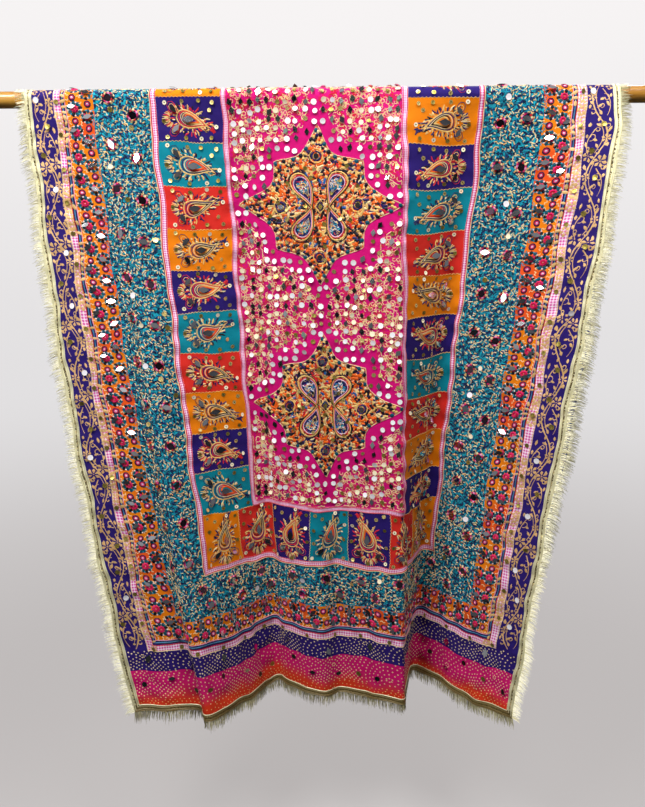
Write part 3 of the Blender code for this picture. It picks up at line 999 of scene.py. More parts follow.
ROUND = disc(1.0, 8)
RHOMBUS = np.array([(1.0, 0.0), (0.0, 1.45), (-1.0, 0.0), (0.0, -1.45)])
EYE_PLATE = np.array([(1.0, 0.0), (0.62, 1.0), (0.0, 1.9), (-0.62, 1.0),
                      (-1.0, 0.0), (-0.62, -1.0), (0.0, -1.9), (0.62, -1.0)])


def scattered(box, pitch, draw, loose=0.9):
    """Places spread evenly but loosely over a rectangle."""
    u, w = np.meshgrid(*(np.arange(low + pitch / 2, high, pitch) for low, high in (box[:2], box[2:])))
    u = u + (draw.random(u.shape) - 0.5) * pitch * loose
    w = w + (draw.random(w.shape) - 0.5) * pitch * loose
    places = np.stack([u.ravel(), w.ravel()], axis=1)
    return places[in_box(grown(box, -pitch / 4), *places.T)]


def mixed_dashes(work, places, turn, draw, length, width, height, **mix):
    """Stitches in several colours, each with its share."""
    shares = np.cumsum(list(mix.values()))
    choice = np.searchsorted(shares / shares[-1], draw.random(len(places)))
    long = length * (0.7 + 0.6 * draw.random(len(places)))
    for number, finish in enumerate(mix):
        on = choice == number
        work.dashes(places[on], turn[on], long[on], width, height, finish)


def on_path(path, total, along):
    """Places at some lengths along a path, whose own points lie at the lengths in total."""
    return np.stack([np.interp(along, total, path[:, k]) for k in (0, 1)], axis=1)


# Medallions and the field

# One quarter of the outline, in millimetres
STAR_QUARTER = ((156, 0), (140, 9), (121, 18), (104, 28), (92, 38), (85, 50), (83, 64), (82, 80),
                (68, 84), (52, 87), (38, 91), (28, 98), (21, 108), (14, 121), (7, 134), (0, 147))
STAR_WIDTH, STAR_HEIGHT = 0.156, 0.147
GROUND_RISE = 0.0008
GROUND_RINGS = 7
# The length, width and height of the stitches on the ground, and how far out another mix of colours starts
GROUND_STITCH = (0.0086, 0.0052, 0.0011)
GROUND_PITCH = 0.0070
CORE_REACH = 0.075
# The ringed mirrors, one in each of the star's points
STAR_EYES = ((0.076, 0), (-0.076, 0), (0, 0.094), (0, -0.094))
# The size of the paisleys in the star, and how far the stitches inside them stand above its ground
STAR_PAISLEY_SCALE = 0.86
PAISLEY_FILL_RISE = 0.0012

# The scalloped line round a medallion, as a share of its outline, and the plain lane down the middle
SCALLOP_SHARE = 1.38
LANE_HALF = 0.011
# The curls on the field: how far apart they are, the length of one bend, their width and their margin
CURL_PITCH = 0.0057
CURL_STEP = 0.0038
CURL_WIDTH = 0.0017
CURL_MARGIN = 0.002
# The rows of sequins on the field, how far they keep from its sides, and where they start round a medallion
SEQUIN_PITCH = 0.0172
SEQUIN_MARGIN = 0.006
SEQUIN_SHARE = 1.06


def star_outline():
    """The closed outline of a medallion: four points and four shoulders."""
    quarter = np.array(STAR_QUARTER) / 1000
    upper = np.concatenate([quarter, (quarter[::-1] * (-1, 1))[1:]])
    return np.concatenate([upper, (upper[::-1] * (1, -1))[1:]])


STAR = star_outline()
STAR_CORNERS = len(STAR) - 1
STAR_TURNS = np.unwrap(np.arctan2(STAR[:, 1], STAR[:, 0]))
STAR_REACH = np.hypot(STAR[:, 0], STAR[:, 1])


def star_share(u, w):
    """How far a place is from the nearest medallion's middle, as a share of the outline's distance there."""
    share = np.full(np.shape(u), FAR)
    for middle in MEDALLIONS:
        a, b = u - MEDALLION_U, middle - w
        turn = np.mod(np.arctan2(b, a), 2 * math.pi)
        share = np.minimum(share, np.hypot(a, b) / np.interp(turn, STAR_TURNS, STAR_REACH))
    return share


def make_grounds(centres):
    """The stitched orange ground of each medallion, flush with the field at its outline."""
    share = np.linspace(0, 1, GROUND_RINGS + 1)[1:]
    path = (STAR[None, :-1] * share[:, None, None]).reshape(-1, 2)
    places = set_down(np.concatenate([[[0.0, 0.0]], path]), centres)
    rise = np.concatenate([[GROUND_RISE], np.repeat(np.where(share > 0.99, 0.0, GROUND_RISE), STAR_CORNERS)])
    points = cloth.lay(places, CLOTH_HALF + np.broadcast_to(rise, places.shape[:2]))
    k = np.arange(STAR_CORNERS)
    faces = [fan_faces(STAR_CORNERS)]
    for ring in range(GROUND_RINGS - 1):
        a, b = 1 + ring * STAR_CORNERS + k, 1 + ring * STAR_CORNERS + (k + 1) % STAR_CORNERS
        outer_a, outer_b = a + STAR_CORNERS, b + STAR_CORNERS
        faces.append(np.stack([a, outer_a, outer_b, a, outer_b, b], axis=1).reshape(-1, 3))
    starts = np.arange(len(centres))[:, None, None] * len(rise)
    faces = (np.concatenate(faces) + starts).reshape(-1, 3)
    ground = dashed_cloth("medallion_ground", (214, 84, 20), (NAVY, (235, 110, 20), CREAM), 200.0)
    made = build_mesh("medallion_grounds", points.reshape(-1, 3), [faces], [ground], np.zeros(len(faces)))
    corner_map(made, "Flat", places.reshape(-1, 2)[faces.ravel()])
    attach(made, "root")


def star_paisley(work, draw, flip_a, flip_b):
    """One of the four paisleys in each medallion, its tip towards the middle."""
    outline = teardrop(0.021, 0.033, 0.015, 28)
    a, b = 0.026 * flip_a, 0.033 * flip_b
    turn = math.atan2(-b, -a) - math.pi / 2
    spots = spots_at(MEDALLION_U + a, np.array(MEDALLIONS) - b, turn, STAR_PAISLEY_SCALE, -flip_a * flip_b)
    work.blobs(outline[:-1] * 0.93, spots, 0.0009, "navy", 0.0006)
    for scale, finish, width in ((1.27, "black", 0.0022), (1.14, "gold", 0.0030), (0.99, "red", 0.0020),
                                 (0.90, "lilac", 0.0018), (0.78, "navy", 0.0018), (0.42, "gold", 0.0020)):
        work.lines(outline * scale, spots, width, 0.0009, finish, 0.0008)
    inner = draw.random((64, 2)) * 2 - 1
    inner = inner[np.hypot(inner[:, 0], inner[:, 1]) < 0.95] * (0.0125, 0.0150) - (0, 0.008)
    places = set_down(inner, spots).reshape(-1, 2)
    turn = draw.random(len(places)) * math.pi
    work.base += PAISLEY_FILL_RISE
    mixed_dashes(work, places, turn, draw, 0.0052, 0.0022, 0.0006,
                 teal=0.30, bright_blue=0.22, white=0.22, gold=0.20, red=0.06)
    work.base -= PAISLEY_FILL_RISE
    work.plates(RHOMBUS * 0.0036, moved(spots, 0.002, 0.006), "mirror", 0.08, 0.0022, 0.0, 9)


def make_medallions():
    """The four embroidered stars."""
    draw = np.random.default_rng(11)
    centres = spots_at(MEDALLION_U, np.array(MEDALLIONS))
    make_grounds(centres)
    work = Work("medallions", "magenta_cloth", CLOTH_HALF + GROUND_RISE)
    outline = on_path(STAR, range(STAR_CORNERS + 1), np.arange(0, STAR_CORNERS, 0.32))
    work.lines(np.concatenate([outline, outline[:1]]) * 1.01, centres, 0.0016, 0.0009, "cream", -0.0006)
    for share, shift, size, finishes in (
        (0.972, 0, 0.0043, ("dark_teal", "black")), (0.950, 2, 0.0034, ("gold", "cream")),
        (0.880, 1, 0.0036, ("black", "orange")), (0.890, 3, 0.0030, ("gold", "navy")),
    ):
        for number, place in enumerate(outline[shift::4]):
            work.blobs(disc(size, 6) + place * share, centres, 0.0014, finishes[number % 2], 0.0004)
    for middle in MEDALLIONS:
        box = grown((MEDALLION_U, MEDALLION_U, middle, middle), STAR_WIDTH, STAR_HEIGHT)
        places = scattered(box, GROUND_PITCH, draw)
        places = places[star_share(*places.T) < 0.92]
        a, b = places[:, 0] - MEDALLION_U, middle - places[:, 1]
        turn = np.arctan2(b, a) + math.pi / 2 * (draw.random(len(a)) < 0.4) + draw.normal(0, 0.5, len(a))
        near = np.hypot(a, b) < CORE_REACH
        mixed_dashes(work, places[near], turn[near], draw, *GROUND_STITCH,
                     gold=0.24, cream=0.06, black=0.34, orange=0.20, red=0.10, bright_blue=0.06)
        mixed_dashes(work, places[~near], turn[~near], draw, *GROUND_STITCH,
                     gold=0.24, cream=0.06, black=0.33, navy=0.09, orange=0.25, red=0.03)
    for flip_a in (1, -1):
        for flip_b in (1, -1):
            star_paisley(work, draw, flip_a, flip_b)
    for a, b in STAR_EYES:
        spots = spots_at(MEDALLION_U + a, np.array(MEDALLIONS) - b)
        work.lines(circle(0.0085, 12), spots, 0.0036, 0.0012, "navy", 0.0005)
        work.lines(circle(0.0128, 14), spots, 0.0026, 0.0010, "gold", 0.0004)
        work.plates(ROUND * 0.0050, spots, "mirror", 0.05, 0.0012, 0.0, 5)
    diamond = np.array([(0.011, 0), (0, 0.013), (-0.011, 0), (0, -0.013), (0.011, 0)])
    for scale, finish in ((1.0, "gold"), (0.62, "navy")):
        work.lines(diamond * scale, centres, 0.0026, 0.0010, finish, 0.0006)
    work.plates(RHOMBUS * 0.0045, centres, "dull_gold", 0.05, 0.0012, 0.0, 6)
    places = scattered((MEDALLION_U - 0.15, MEDALLION_U + 0.15, -0.70, 0.76), 0.026, draw)
    places = places[star_share(*places.T) < 0.86]
    spots = spots_at(*places.T, draw.random(len(places)) * 3)
    work.plates(ROUND * 0.0040, spots[::2], "dull_gold", 0.14, 0.0012, 0.0003, 7)
    work.plates(ROUND * 0.0040, spots[1::4], "bright_gold", 0.14, 0.0012, 0.0003, 8)
    work.finished()


def field_stitching(draw):
    """Curled stitching on the field, and the scalloped line round each medallion."""
    work = Work("field_stitching", "magenta_cloth")
    places = scattered(FIELD, CURL_PITCH, draw)
    off_lane = np.abs(places[:, 0] - MEDALLION_U) > LANE_HALF
    places = places[(star_share(*places.T) > SCALLOP_SHARE + 0.02) & off_lane]
    count = len(places)
    heading = draw.random(count) * 2 * math.pi
    bend = np.where(draw.random(count) < 0.5, 1, -1) * (0.7 + draw.random(count) * 0.5)
    turns = heading[:, None] + bend[:, None] * np.arange(5)
    steps = CURL_STEP * np.stack([np.cos(turns), np.sin(turns)], axis=-1)
    paths = places[:, None] + np.cumsum(steps, axis=1) - steps[:, :1] * 3
    left, right, low, high = grown(FIELD, -CURL_MARGIN)
    paths = np.clip(paths, (left, low), (right, high))
    cream = draw.random(count) < 0.62
    work.strokes(paths[cream], CURL_WIDTH, 0.0007, "cream")
    work.strokes(paths[~cream], CURL_WIDTH, 0.0006, "red")
    turns = np.linspace(0, 2 * math.pi, 181)
    reach = np.interp(np.mod(turns, 2 * math.pi), STAR_TURNS, STAR_REACH)
    scallop = SCALLOP_SHARE - 0.05 + 0.07 * np.abs(np.sin(turns * 6))
    for middle in MEDALLIONS:
        a, b = reach * scallop * np.cos(turns), reach * scallop * np.sin(turns)
        path = np.stack([MEDALLION_U + a, middle - b], axis=1)
        fits = in_box(grown(FIELD, -0.003), *path.T) & (star_share(*path.T) > 1.1) & (np.abs(a) > LANE_HALF)
        starts = np.array([k for k in range(180) if fits[k] and fits[k + 1] and k % 3 != 2])
        work.strokes(np.stack([path[starts], path[starts + 1]], axis=1), 0.0021, 0.0009, "cream")
    work.finished()


def field_sequins(draw):
    """Sequins and small mirrors in loose rows on the field."""
    work = Work("field_sequins", "magenta_cloth", CLOTH_HALF + 0.0004)
    places = scattered(FIELD, SEQUIN_PITCH, draw, 0.36)
    share = star_share(*places.T)
    on = (share > SEQUIN_SHARE) & in_box(grown(FIELD, -SEQUIN_MARGIN, FAR), *places.T)
    u, w = places[on].T
    count = len(u)
    kind = draw.random(count)
    size = 0.88 + 0.22 * draw.random(count)
    spots = spots_at(u, w, draw.normal(0, 0.35, count), size)
    plain = (share[on] < SCALLOP_SHARE) | (np.abs(u - MEDALLION_U) < LANE_HALF)
    white = kind < np.where(plain, 0.60, 0.52)
    rhombus = kind > np.where(plain, 0.80, 0.68)
    gold = ~white & ~rhombus
    lively = draw.random(count) < 0.5
    creamy = ~plain & (draw.random(count) < 0.45)
    for outline, chosen, finish, lean, level, dish, seed in (
        (ROUND * 0.0054, white & ~creamy, "white_sequin", 0.20, 0.0003, 0.0004, 31),
        (ROUND * 0.0050, white & creamy, "cream_sequin", 0.20, 0.0003, 0.0004, 36),
        (ROUND * 0.0044, gold & lively, "dull_gold", 0.20, 0.0003, 0.0004, 32),
        (ROUND * 0.0042, gold & ~lively, "bright_gold", 0.25, 0.0003, 0.0004, 33),
        (RHOMBUS * 0.0050, rhombus & lively, "mirror", 0.10, 0.0005, 0.0, 34),
        # Half of the rhombus mirrors get the painted dark reflection
        (RHOMBUS * 0.0050, rhombus & ~lively, "mirror_painted_dark", 0.12, 0.0005, 0.0, 35),
    ):
        work.plates(outline, spots[chosen], finish, lean, level, dish, seed)
    work.finished()


# Patches

# The threads of each patch: halo, second line, inner line and eye
PATCH_THREADS = {
    "orange": ("navy", "gold", "black", "gold"),
    "navy": ("red", "gold", "gold", "orange"),
    "teal": ("navy", "gold", "red", "orange"),
    "red": ("navy", "gold", "black", "gold"),
}
PAISLEY = teardrop(0.0142, 0.0235, 0.0105, 24)
PAISLEY_LIFT = (0, 0.004)
PAISLEY_SCALE = 1.28
# A patch no longer than the first has no paisley, and one as wide as the second has one of the plain size
LEAST_PATCH = 0.05
PLAIN_PATCH = 0.084
SEAM_POINTS = 36
# Sequins round each paisley, in millimetres from the patch's middle
PATCH_BORDER = ((-32, 48), (33, 46), (-34, -46), (33, -47), (-33, 20), (34, 22), (-34, -12), (34, -10),
                (12, 52), (-17, 40), (2, -50))


def patch_spots(color):
    """A spot for every patch of a colour, every other one mirrored."""
    rows = []
    for left, right, low, high, mine, way in PATCHES:
        if mine == color and high - low > LEAST_PATCH:
            across = right - left if way in (0, 180) else high - low
            rows.append(((left + right) / 2, (low + high) / 2, math.radians(way), across / PLAIN_PATCH, 1))
    spots = np.array(rows)
    spots[:, 4] = np.where(np.arange(len(spots)) % 2 == 0, 1, -1)
    return spots


def paisley_halo(work, spots, draw, halo, second):
    """Bent stitches in rings round a paisley, and a tuft below it."""
    corners = len(PAISLEY) - 1
    finishes = (halo, second, halo, "cream", "black", second, halo)
    for ring, length, count in ((1.14, 0.0062, 34), (1.40, 0.0060, 36), (1.62, 0.0046, 22)):
        for k in range(count):
            at = 1.5 + (corners - 3) * (k + 0.5) / count
            i = int(at)
            point = PAISLEY[i] + (PAISLEY[i + 1] - PAISLEY[i]) * (at - i)
            away = point / np.linalg.norm(point)
            start = point * ring + PAISLEY_LIFT + draw.normal(0, 0.0006, 2)
            lean = away * 0.90 + np.array([0, 0.10]) + draw.normal(0, 0.32, 2)
            curl = np.array([-lean[1], lean[0]]) * 0.35 * (1 if k % 2 else -1)
            reach = length * (0.75 + 0.5 * draw.random())
            path = np.stack([start, start + lean * reach * 0.55 + curl * reach * 0.25, start + lean * reach])
            work.lines(path, spots, np.array([0.0020, 0.0036, 0.0016]), 0.0010, finishes[k % 7])
    for k in range(12):
        angle = math.radians(200 + 140 * k / 11)
        out = np.array([math.cos(angle), math.sin(angle)])
        start = np.array([0.006 * out[0], -0.027 + 0.004 * out[1]])
        path = start + np.array([[0, 0], [0.55, 0.45], [0.8, 1.15]]) * 0.010 * out
        work.lines(path, spots, np.array([0.0018, 0.0030, 0.0014]), 0.0009, (halo, second, "cream")[k % 3])


def patch_leaves(work, shiny, spots, halo, second):
    """Two leaves with mirrors at a paisley's foot, a curl at its tip and a mirror in its eye."""
    for side in (-1, 1):
        a, b = teardrop(0.0048, 0.0085, 0.002 * side, 10).T
        leaf = np.stack([a * 0.5 - b * 0.85 * side, b * 0.5 + a * 0.85 * side], axis=1)
        foot = (0.015 * side, -0.024)
        work.lines(leaf + foot, spots, 0.0014, 0.0007, second)
        work.lines(leaf * 1.5 + foot, spots, 0.0012, 0.0007, halo)
        small = spots_at(*moved(spots, *foot)[:, :2].T, spots[:, 2] + side * 0.9)
        shiny.plates(EYE_PLATE * 0.0048, small, "mirror", 0.12, 0.0008, 0.0, 51 + side)
    curl = np.stack([np.linspace(0, 1, 6), np.sin(np.linspace(0, math.pi * 1.2, 6)) * 0.8], axis=1) * 0.006
    work.lines(curl + (PAISLEY[0] + PAISLEY_LIFT), spots, 0.0018, 0.0008, second)
    eye = spots_at(*moved(spots, 0.001, -0.002)[:, :2].T, spots[:, 2])
    shiny.plates(EYE_PLATE * 0.0062, eye, "mirror", 0.09, 0.0008, 0.0, 53)


def patch_seams():
    """The ends of the seams between patches, in u and w."""
    for hand in ("left", "right"):
        edges = BANDS[f"patches_{hand}"]
        for w in patch_lines(hand)[1:-1]:
            yield (edges[0], w), (edges[1], w)
    for side, sign in SIGN.items():
        high, low = (sign * edge for edge in ROWS[side]["patches"])
        for u in end_patch_lines()[1:-1]:
            yield (u, high), (u, low)
        for hand in ("left", "right"):
            edges = BANDS[f"patches_{hand}"]
            yield (edges[0], high), (edges[1], high)


def make_patches():
    """A paisley with a halo of stitches on each patch, its sequins and mirrors, and the seams between."""
    work = Work("patch_paisleys", "patch_cloth")
    shiny = Work("patch_sequins", "patch_cloth", CLOTH_HALF + 0.0004)
    draw = np.random.default_rng(41)
    for color, (halo, second, line, eye) in PATCH_THREADS.items():
        plain = patch_spots(color)
        spots = plain.copy()
        spots[:, 3] *= PAISLEY_SCALE
        for scale, finish, width in ((1.04, second, 0.0030), (0.88, halo, 0.0022), (0.76, "cream", 0.0018),
                                     (0.62, line, 0.0022), (0.46, eye, 0.0032)):
            work.lines(PAISLEY * scale + PAISLEY_LIFT, spots, width, 0.0008, finish)
        paisley_halo(work, spots, draw, halo, second)
        patch_leaves(work, shiny, spots, halo, second)
        for number, place in enumerate(np.array(PATCH_BORDER) / 1000):
            places = moved(plain, *place)[:, :2] + draw.normal(0, 0.0012, (len(plain), 2))
            row = spots_at(*places.T)
            finish = ("bright_gold", "dull_gold", "cream_sequin")[number % 3]
            shiny.plates(ROUND * 0.0041, row, finish, 0.20, 0.0003, 0.0004, 60 + number)
            shiny.blobs(disc(0.0015, 5), row, 0.0004, "olive", 0.0012)
    for start, end in patch_seams():
        start, end = np.array(start), np.array(end)
        path = start + (end - start) * np.linspace(0, 1, SEAM_POINTS)[:, None]
        aside = np.array([end[1] - start[1], start[0] - end[0]]) / np.linalg.norm(end - start)
        path = path + aside * 0.0009 * np.where(np.arange(SEAM_POINTS) % 2, 1, -1)[:, None]
        work.strokes(path[None], 0.0011, 0.0006, "gold")
    work.finished()
    shiny.finished()


make_medallions()
field_draw = np.random.default_rng(21)
field_stitching(field_draw)
field_sequins(field_draw)
make_patches()


# Edge: tape and fringe

FRINGE_PITCH_SIDE = 0.00082
FRINGE_PITCH_HEM = 0.00070
FRINGE_INSET = 0.0012
# Over the rod the threads don't droop: how far down they begin to, and over what length that grows
DROOP_START = BEND_LENGTH * 0.8
DROOP_FADE = 0.06
SIDE_THREAD_RADIUS = 0.00080
HEM_THREAD_RADIUS = 0.00072
# How far a free thread droops, at least and at most more, as a share of its length
DROOP, MORE_DROOP = 0.10, 0.30
# The shares of threads that are short, and of those that are dark
SHORT_THREADS, DARK_THREADS = 0.18, 0.24


def ring_runs(box, out):
    """The sides of a rectangle, grown outwards, as paths with a point at each line of the cloth's grid."""
    left, right, low, high = grown(box, out)
    w = np.concatenate([[low], cloth.w[(cloth.w > low + 0.001) & (cloth.w < high - 0.001)], [high]])
    u = np.concatenate([[left], cloth.u[(cloth.u > left + 0.001) & (cloth.u < right - 0.001)], [right]])
    sides = (left, w), (u, high), (right, w[::-1]), (u[::-1], low)
    return [np.stack(np.broadcast_arrays(*side), axis=1) for side in sides]


def ring_path(box, out):
    """One closed path round a rectangle, grown outwards."""
    runs = ring_runs(box, out)
    return np.concatenate([run[:-1] for run in runs] + [runs[0][:1]])


def lengths(path):
    """The length along a path at each of its points."""
    return np.concatenate([[0], np.cumsum(np.linalg.norm(np.diff(path, axis=0), axis=1))])


def make_tape_work():
    """Ridges along the tape, with specks between them."""
    work = Work("tape_ridges", "gold_tape", CLOTH_HALF + RIBBON_LIFT)
    draw = np.random.default_rng(71)
    # At the hems the outer ridges take the dark hem thread, painted shade as on the hem tape; up the sides
    # they are pale
    for out, width, finish in ((0.0012, 0.0016, "tape_thread"), (0.0048, 0.0022, "hem_thread"),
                               (0.0104, 0.0022, "hem_thread"), (0.0132, 0.0014, "hem_thread")):
        for run, here in zip(ring_runs(INSIDE_TAPE, out), ("tape_thread", finish) * 2):
            work.strokes(run[None], width, 0.0007, here)
    for run in ring_runs(INSIDE_TAPE, 0.0062)[::2]:
        work.strokes(run[None], 0.0013, 0.0006, "hem_thread")
    path = ring_path(INSIDE_TAPE, 0.0078)
    total = lengths(path)
    along = np.arange(0.002, total[-1], 0.0042)
    along = along + draw.normal(0, 0.0009, len(along))
    places = on_path(path, total, along)
    ahead = on_path(path, total, along + 0.002) - places
    turn = np.arctan2(-ahead[:, 1], ahead[:, 0]) + draw.normal(0, 0.5, len(along))
    dark = draw.random(len(along)) < 0.58
    # Only dark specks across the hems: painted shade
    light = ~dark & in_box((*WHOLE[:2], *INSIDE_TAPE[2:]), *places.T)
    work.dashes(places[dark], turn[dark], 0.0038, 0.0022, 0.0006, "olive")
    work.dashes(places[light], turn[light], 0.0030, 0.0013, 0.0006, "bright_gold")
    work.finished()


def fringe_roots(draw):
    """Each thread's root, way out, normal, how freely it droops and whether it is at a hem."""
    left, right, low, high = WHOLE
    runs = []
    for u, side in ((left + FRINGE_INSET, -1), (right - FRINGE_INSET, 1)):
        w = np.arange(low, high, FRINGE_PITCH_SIDE)
        w = w + draw.normal(0, 0.0004, len(w))
        point, normal, across = cloth.read(np.full(len(w), u), np.clip(w, low, high))
        free = np.clip((np.abs(w) - DROOP_START) / DROOP_FADE, 0, 1)
        runs.append((point, across * side, normal, free, np.zeros(len(w), bool)))
    for w, side in ((low + FRINGE_INSET, -1), (high - FRINGE_INSET, 1)):
        u = np.arange(left, right, FRINGE_PITCH_HEM)
        u = u + draw.normal(0, 0.0005, len(u))
        point, normal, across = cloth.read(np.clip(u, left, right), np.full(len(u), w))
        runs.append((point, np.cross(across, normal) * side, normal, np.ones(len(u)), np.ones(len(u), bool)))
    return [np.concatenate(part) for part in zip(*runs)]


def make_fringe():
    """Loose threads on all four edges. They stand out from the edge and droop a little."""
    draw = np.random.default_rng(72)
    root, out, normal, free, hem = fringe_roots(draw)
    count = len(root)
    aside = np.sin(np.cumsum(draw.normal(0, 0.05, count))) * 0.12 + draw.normal(0, 0.11, count)
    along = np.cross(normal, out)
    heading = out + along * aside[:, None] + normal * draw.normal(0, 0.09, count)[:, None]
    heading /= np.linalg.norm(heading, axis=1, keepdims=True)
    length = FRINGE_REACH * np.clip(draw.normal(np.where(hem, 0.80, 0.90), 0.12), 0.35, 1.2)
    length[draw.random(count) < SHORT_THREADS] *= 0.5
    droop = (DROOP + MORE_DROOP * draw.random(count)) * free
    wave = normal * draw.normal(0, 0.05, count)[:, None]
    radius = np.where(hem, HEM_THREAD_RADIUS, SIDE_THREAD_RADIUS)[:, None]
    rings = []
    for step, taper in ((0.0, 1.0), (0.36, 0.85), (0.70, 0.60), (1.0, 0.25)):
        thick = radius * taper
        swing = wave * (length * math.sin(step * math.pi))[:, None]
        middle = root + heading * (length * step)[:, None] + swing
        middle = middle + np.array([0, 0, -1.0]) * (length * droop * step ** 2)[:, None]
        for turn in (0, 2 * math.pi / 3, 4 * math.pi / 3):
            rings.append(middle + normal * thick * math.cos(turn) + along * thick * math.sin(turn))
    points = np.stack(rings, axis=1)
    faces = []
    for a in range(9):
        b = a + 1 if a % 3 < 2 else a - 2
        faces += [(a, b, b + 3), (a, b + 3, a + 3)]
    work = Work("fringe", "fringe_thread")
    dark = draw.random(count) < DARK_THREADS
    # At the hems the threads take the darker colours: painted shade
    for chosen, finish in ((~dark & ~hem, "fringe_thread"), (dark & ~hem, "fringe_dark"),
                           (~dark & hem, "hem_fringe"), (dark & hem, "hem_fringe_dark")):
        work.add(points[chosen], np.array(faces), finish)
    made = work.finished()
    # Light passes through threads this fine
    made.visible_shadow = False
    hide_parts(*both_sides("fringe_left", "fringe_right", "fringe_end"))


make_tape_work()
make_fringe()


# Borders

# Where a petal is widest, as a share of its length
PETAL_WIDEST = 0.62
# The teal border's stitches: their length, width and height, and how far apart they are
TEAL_STITCH = (0.0052, 0.0021, 0.0008)
TEAL_PITCH = 0.0050
# How far a stitch and a loose sequin keep from the middle of a mirror
STITCH_REACH = 0.0132
SEQUIN_REACH = 0.020
# How far apart the flowers of the orange border are, in its outer and its inner row
OUTER_PITCH = 0.0425
INNER_PITCH = 0.0430
# The width of one cell of dots across the navy ends, with a mirror in each
NAVY_CELL = 0.096
PRINT_HEIGHT = 0.0004


def ring_spots(box, pitch, shift=0.0):
    """Spots evenly round a rectangle, each with its +b pointing outwards."""
    path = ring_path(box, 0.0)
    total = lengths(path)
    count = round(total[-1] / pitch)
    along = (np.arange(count) + shift) % count * total[-1] / count
    places = on_path(path, total, along)
    ahead = on_path(path, total, along + 0.001) - places
    return spots_at(*places.T, np.arctan2(ahead[:, 1], -ahead[:, 0]))


def petal(angle, near, far, wide):
    """Outline of a petal that points away from the middle at an angle."""
    out = np.array([math.cos(angle), math.sin(angle)])
    aside = np.array([-out[1], out[0]])
    middle = near + (far - near) * PETAL_WIDEST
    return np.array([out * near, out * middle - aside * wide, out * far, out * middle + aside * wide])


def clear_of(places, spots, reach):
    """True for places farther than reach from every spot."""
    nearest = np.full(len(places), FAR)
    for spot in spots:
        nearest = np.minimum(nearest, np.hypot(*(places - spot[:2]).T))
    return nearest > reach


def make_teal_work():
    """Dense short stitches round two staggered rows of mirrors."""
    inner, teal = box_of("inner_ribbon"), box_of("teal")
    draw = np.random.default_rng(81)
    rows = [ring_spots(blend_box(inner, teal, 0.30), 0.079, 0.5)]
    rows.append(ring_spots(blend_box(inner, teal, 0.73), 0.082))
    spots = np.concatenate(rows)
    spots[:, 2] = draw.random(len(spots)) * 2 * math.pi
    shiny = Work("teal_mirrors", "teal_cloth", CLOTH_HALF + 0.0003)
    uneven_round = disc(0.0074, 7) * np.array([1.0, 0.84, 1.10, 0.88, 1.12, 0.86, 1.04])[:, None]
    shiny.plates(uneven_round, spots[::2], "plum_mirror", 0.12, 0.0004, 0.0, 82)
    shiny.plates(EYE_PLATE * 0.0054, spots[1::2], "mirror", 0.12, 0.0004, 0.0, 85)
    colors = ("plum", "magenta", "pink", "magenta", "cream", "red", "black")
    for k in range(14):
        start = 2 * math.pi * (k + 0.3 * draw.random()) / 14
        arc = circle(0.0083 + 0.0014 * draw.random(), 1, start, 2.2 / 14 * math.pi)
        shiny.lines(arc, spots, 0.0038, 0.0015, colors[k % 7], 0.0006)
    for k in range(15):
        start = 2 * math.pi * (k + 0.3 * draw.random()) / 15
        arc = circle(0.0122, 1, start, 1.5 / 15 * math.pi)
        shiny.lines(arc, spots, 0.0024, 0.0011, ("cream", "gold", "ink")[k % 3])
    places = scattered(teal, 0.062, draw, 0.8)
    places = places[~in_box(grown(inner, 0.008), *places.T) & clear_of(places, spots, SEQUIN_REACH)]
    small = spots_at(*places.T)
    for first, size, finish, seed in ((0, 0.0060, "white_sequin", 83), (2, 0.0050, "cream_sequin", 86),
                                      (1, 0.0052, "bright_gold", 84), (3, 0.0052, "dull_gold", 87)):
        shiny.plates(ROUND * size, small[first::4], finish, 0.18, 0.0006, 0.0005, seed)
    shiny.finished()
    work = Work("teal_stitches", "teal_cloth")
    places = scattered(teal, TEAL_PITCH, draw)
    places = places[~in_box(grown(inner, 0.002), *places.T) & clear_of(places, spots, STITCH_REACH)]
    u, w = places.T
    sway = np.sin(u * 190 + 2 * np.sin(w * 70)) + np.sin(w * 160 + 2 * np.sin(u * 90 + 1))
    turn = sway * 1.5 + draw.normal(0, 0.45, len(u))
    drift = np.sin(u * 75 + 3 * np.sin(w * 31)) * np.sin(w * 52 + 2 * np.sin(u * 48))
    light = drift + draw.normal(0, 0.6, len(u)) > 0.05
    mixed_dashes(work, places[light], turn[light], draw, *TEAL_STITCH,
                 cream=0.44, gold=0.18, ink=0.26, teal=0.12)
    mixed_dashes(work, places[~light], turn[~light], draw, *TEAL_STITCH,
                 cream=0.20, gold=0.12, ink=0.40, navy=0.08, teal=0.26)
    work.finished()


def flowers(work, spots, petals, first, far, wide, shades, dot_turn, dot_reach, dot_size):
    """Petals round each spot, with a small dot beside each of them."""
    for k in range(petals):
        angle = 2 * math.pi * (k + first) / petals
        work.blobs(petal(angle, 0.0044, far, wide), spots, 0.0010, shades[k % len(shades)])
        dot = np.array([math.cos(angle + dot_turn), math.sin(angle + dot_turn)]) * dot_reach
        work.blobs(disc(dot_size, 4) + dot, spots, 0.0010, ("white", "teal")[k % 2], 0.0004)


